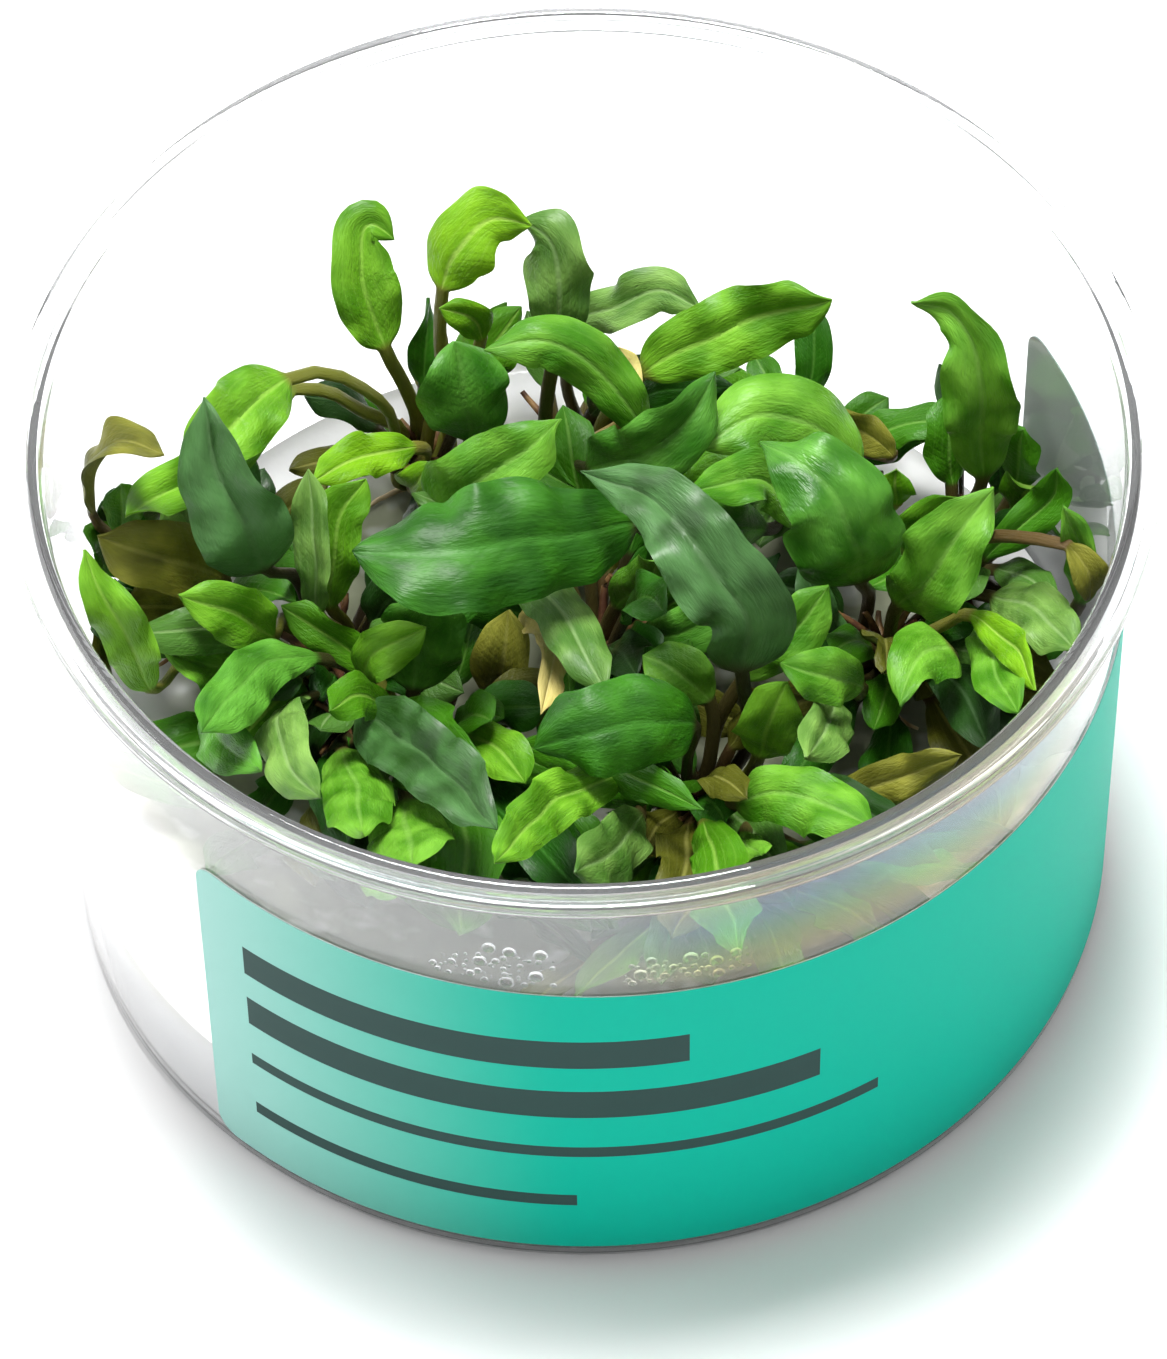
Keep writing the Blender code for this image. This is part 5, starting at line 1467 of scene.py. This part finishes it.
class CULTURE_CUP_OT_label(bpy.types.Operator):
    """Bend the printed film round the wall"""

    bl_idname = "culture_cup.label"
    bl_label = "Make label"

    def execute(self, context):
        settings = context.scene.culture_label
        body = Tissues()
        half_length = radians(LABEL_END - LABEL_START) / 2 * wall_radius(LABEL_HIGH)
        middle = radians(LABEL_END + LABEL_START) / 2
        inner = settings.clearance / MM
        outer = inner + LABEL_THICKNESS * 0.7
        rings = []
        for i in range(LABEL_ROUND + 1):
            across = sin((i / LABEL_ROUND - 0.5) * pi)
            along = half_length * across
            into_corner = clamp(LABEL_CORNER - half_length + abs(along), 0.0, LABEL_CORNER)
            trim = LABEL_CORNER - sqrt(LABEL_CORNER**2 - into_corner**2)
            rise = LABEL_END_RISE * across**2
            low = LABEL_LOW + trim
            high = max(LABEL_HIGH - trim + rise, low + 0.1)
            angle = middle + along / wall_radius(LABEL_HIGH)
            heights = [low + (high - low) * j / LABEL_UP for j in range(LABEL_UP + 1)]
            heights += reversed(heights)
            unders = [0.0] * (LABEL_UP + 1) + [1.0] * (LABEL_UP + 1)
            ring = []
            for height, under in zip(heights, unders):
                radius = wall_radius(height) + (inner if under else outer)
                ring.append(Vector((radius * sin(angle), -radius * cos(angle), height)))
            rings.append(body.ring(ring, across=heights, along=along + half_length, under=unders))
        body.skin(rings, printed_film())
        finish(body.piece("wrap_label"), "label", "label")
        return {"FINISHED"}


class CULTURE_CUP_OT_gel(bpy.types.Operator):
    """Pour the gel into the cup"""

    bl_idname = "culture_cup.gel"
    bl_label = "Make gel"

    def execute(self, context):
        sides = context.scene.culture_cup.sides
        low = FLOOR_THICKNESS + 0.06
        profile = (
            (inner_radius(2.0) - 2.2, low),
            (inner_radius(2.0) - 1.1, low + 0.35),
            (inner_radius(2.6) - 0.4, 2.3),
            (inner_radius(3.6) - 0.08, 3.6),
            (inner_radius(GEL_TOP + GEL_MENISCUS) - 0.06, GEL_TOP + GEL_MENISCUS),
            (inner_radius(GEL_TOP) - 0.5, GEL_TOP + GEL_MENISCUS * 0.5),
            (inner_radius(GEL_TOP) - 1.2, GEL_TOP + GEL_MENISCUS * 0.2),
            (inner_radius(GEL_TOP) - 2.4, GEL_TOP),
            (inner_radius(GEL_TOP) - 20.0, GEL_TOP - 0.05),
        )
        gel = turn_body("set_gel", profile, sides, agar_gel())
        finish(gel, "gel", "gel")
        return {"FINISHED"}


@cache
def grown_midribs():
    return grow(LEAVES)


class CULTURE_CUP_OT_leaves(bpy.types.Operator):
    """Model every grown leaf on its midrib"""

    bl_idname = "culture_cup.leaves"
    bl_label = "Grow leaves"

    def execute(self, context):
        counts = dict.fromkeys(CROWNS, 0)
        for number, (leaf, curve) in enumerate(zip(LEAVES, grown_midribs())):
            if leaf.young:
                continue
            counts[leaf.crown] += 1
            body = Tissues()
            grow_leaf(body, leaf, curve, number)
            node = f"leaf_{leaf.crown}_{counts[leaf.crown]}"
            finish(body.piece(f"grown_{node}"), f"leaf_{leaf.finish}", node)
        return {"FINISHED"}


class CULTURE_CUP_OT_crowns(bpy.types.Operator):
    """Model each plantlet's crown with its roots and its young leaves"""

    bl_idname = "culture_cup.crowns"
    bl_label = "Grow crowns"

    def execute(self, context):
        chance = Random(CROWN_SEED)
        for name in CROWNS:
            body = Tissues()
            grow_crown(body, name, chance)
            for number, (leaf, curve) in enumerate(zip(LEAVES, grown_midribs())):
                if leaf.young and leaf.crown == name:
                    grow_leaf(body, leaf, curve, number)
            grow_shoots(body, name, chance)
            finish(body.piece(f"grown_crown_{name}"), "crown", f"crown_{name}")
        return {"FINISHED"}


class CULTURE_CUP_OT_drops(bpy.types.Operator):
    """Scatter condensed drops over the wall above the label"""

    bl_idname = "culture_cup.drops"
    bl_label = "Add drops"

    def execute(self, context):
        settings = context.scene.culture_drops
        chance = Random(DROP_SEED)
        drops = []
        up = Vector((0.0, 0.0, 1.0))
        largest = settings.largest / MM
        while len(drops) < settings.count:
            first, last, low, high = chance.choice(DROP_PATCHES)
            angle = radians(chance.uniform(first, last))
            height = chance.triangular(low, high, low + 1.0)
            radius = largest * chance.uniform(0.3, 1.0) ** 1.8
            place = Vector((sin(angle), -cos(angle), 0.0)) * inner_radius(height) + up * height
            if all((place - other).length > (radius + size) * DROP_CLOSENESS for other, size in drops):
                drops.append((place, radius))
        body = Tissues()
        for place, radius in drops:
            inward = -Vector((place.x, place.y, 0.0)).normalized()
            side = up.cross(inward)
            rings = []
            for i in range(DROP_ROWS + 1):
                rise = i / DROP_ROWS * pi / 2
                size = radius * max(cos(rise), 0.06)
                centre = place + inward * (radius * DROP_RISE * sin(rise) - DROP_SUNK)
                ring = [centre + (side * cos(turn) + up * sin(turn)) * size for turn in turns(DROP_SIDES)]
                rings.append(body.ring(ring))
            body.skin(rings, water())
        finish(body.piece("condensed_drops"), "gel")
        return {"FINISHED"}


class CULTURE_CUP_OT_stage(bpy.types.Operator):
    """Set the pale floor, the soft lights and the camera"""

    bl_idname = "culture_cup.stage"
    bl_label = "Set stage"

    def execute(self, context):
        settings = context.scene.culture_stage
        deselect()
        bpy.ops.mesh.primitive_plane_add(size=6.0, location=(0.0, 0.0, 0.0))
        floor = context.object
        floor.name = "floor"
        material, tree = new_material("matt_painted_board", Roughness=0.7)
        patches = calc(tree, "MULTIPLY", speckle(tree, 40.0, 0.0), 0.04)
        colour = mix(tree, patches, settings.floor_colour, colour_of("F0F0F0"))
        floor.data.materials.append(joined(material, Base_Color=colour))
        world = bpy.data.worlds.new("soft_room")
        world.use_nodes = True
        context.scene.world = world
        sky = world.node_tree.nodes["Background"]
        sky.inputs["Color"].default_value = colour_of("FFFFFF")
        sky.inputs["Strength"].default_value = SKY_STRENGTH
        for name, place, size, power in STUDIO_LIGHTS:
            bpy.ops.object.light_add(type="AREA", location=place)
            lamp = context.object
            lamp.name = name
            lamp.data.size = size
            lamp.data.energy = power * settings.key_power
            aim = Vector(LIGHTS_AIM) - Vector(place)
            lamp.rotation_euler = aim.to_track_quat("-Z", "Y").to_euler()
        bpy.ops.object.camera_add(location=CAMERA_PLACE)
        camera = context.object
        camera.name = "camera"
        camera.data.sensor_fit = "HORIZONTAL"
        camera.data.sensor_width = 36.0
        camera.data.lens = settings.focal_length
        aim = (Vector(CAMERA_AIM) - Vector(CAMERA_PLACE)).to_track_quat("-Z", "Y").to_matrix()
        camera.rotation_euler = (aim @ Matrix.Rotation(radians(CAMERA_ROLL), 3, "Z")).to_euler()
        context.scene.camera = camera
        context.scene.view_settings.view_transform = "Standard"
        return {"FINISHED"}


class VIEW3D_PT_culture_cup(bpy.types.Panel):
    bl_label = "Culture cup"
    bl_category = "Culture cup"
    bl_space_type = "VIEW_3D"
    bl_region_type = "UI"

    def draw(self, context):
        for settings, operator in PANEL_ROWS:
            box = self.layout.box()
            group = getattr(context.scene, settings)
            for name in group.__annotations__:
                box.prop(group, name)
            box.operator(operator.bl_idname)


PANEL_ROWS = (
    ("culture_cup", CULTURE_CUP_OT_cup),
    ("culture_label", CULTURE_CUP_OT_label),
    ("culture_gel", CULTURE_CUP_OT_gel),
    ("culture_plants", CULTURE_CUP_OT_leaves),
    ("culture_plants", CULTURE_CUP_OT_crowns),
    ("culture_drops", CULTURE_CUP_OT_drops),
    ("culture_stage", CULTURE_CUP_OT_stage),
)

SETTINGS = {
    "culture_cup": CupSettings,
    "culture_label": LabelSettings,
    "culture_gel": GelSettings,
    "culture_plants": PlantSettings,
    "culture_drops": DropSettings,
    "culture_stage": StageSettings,
}


def register():
    for name, settings in SETTINGS.items():
        bpy.utils.register_class(settings)
        setattr(bpy.types.Scene, name, bpy.props.PointerProperty(type=settings))
    for _, operator in PANEL_ROWS:
        bpy.utils.register_class(operator)
    bpy.utils.register_class(VIEW3D_PT_culture_cup)


def unregister():
    bpy.utils.unregister_class(VIEW3D_PT_culture_cup)
    for _, operator in reversed(PANEL_ROWS):
        bpy.utils.unregister_class(operator)
    for name, settings in SETTINGS.items():
        delattr(bpy.types.Scene, name)
        bpy.utils.unregister_class(settings)


def main():
    register()
    bpy.ops.culture_cup.cup()
    bpy.ops.culture_cup.label()
    bpy.ops.culture_cup.gel()
    bpy.ops.culture_cup.leaves()
    bpy.ops.culture_cup.crowns()
    bpy.ops.culture_cup.drops()
    bpy.ops.culture_cup.stage()


if __name__ == "__main__":
    main()
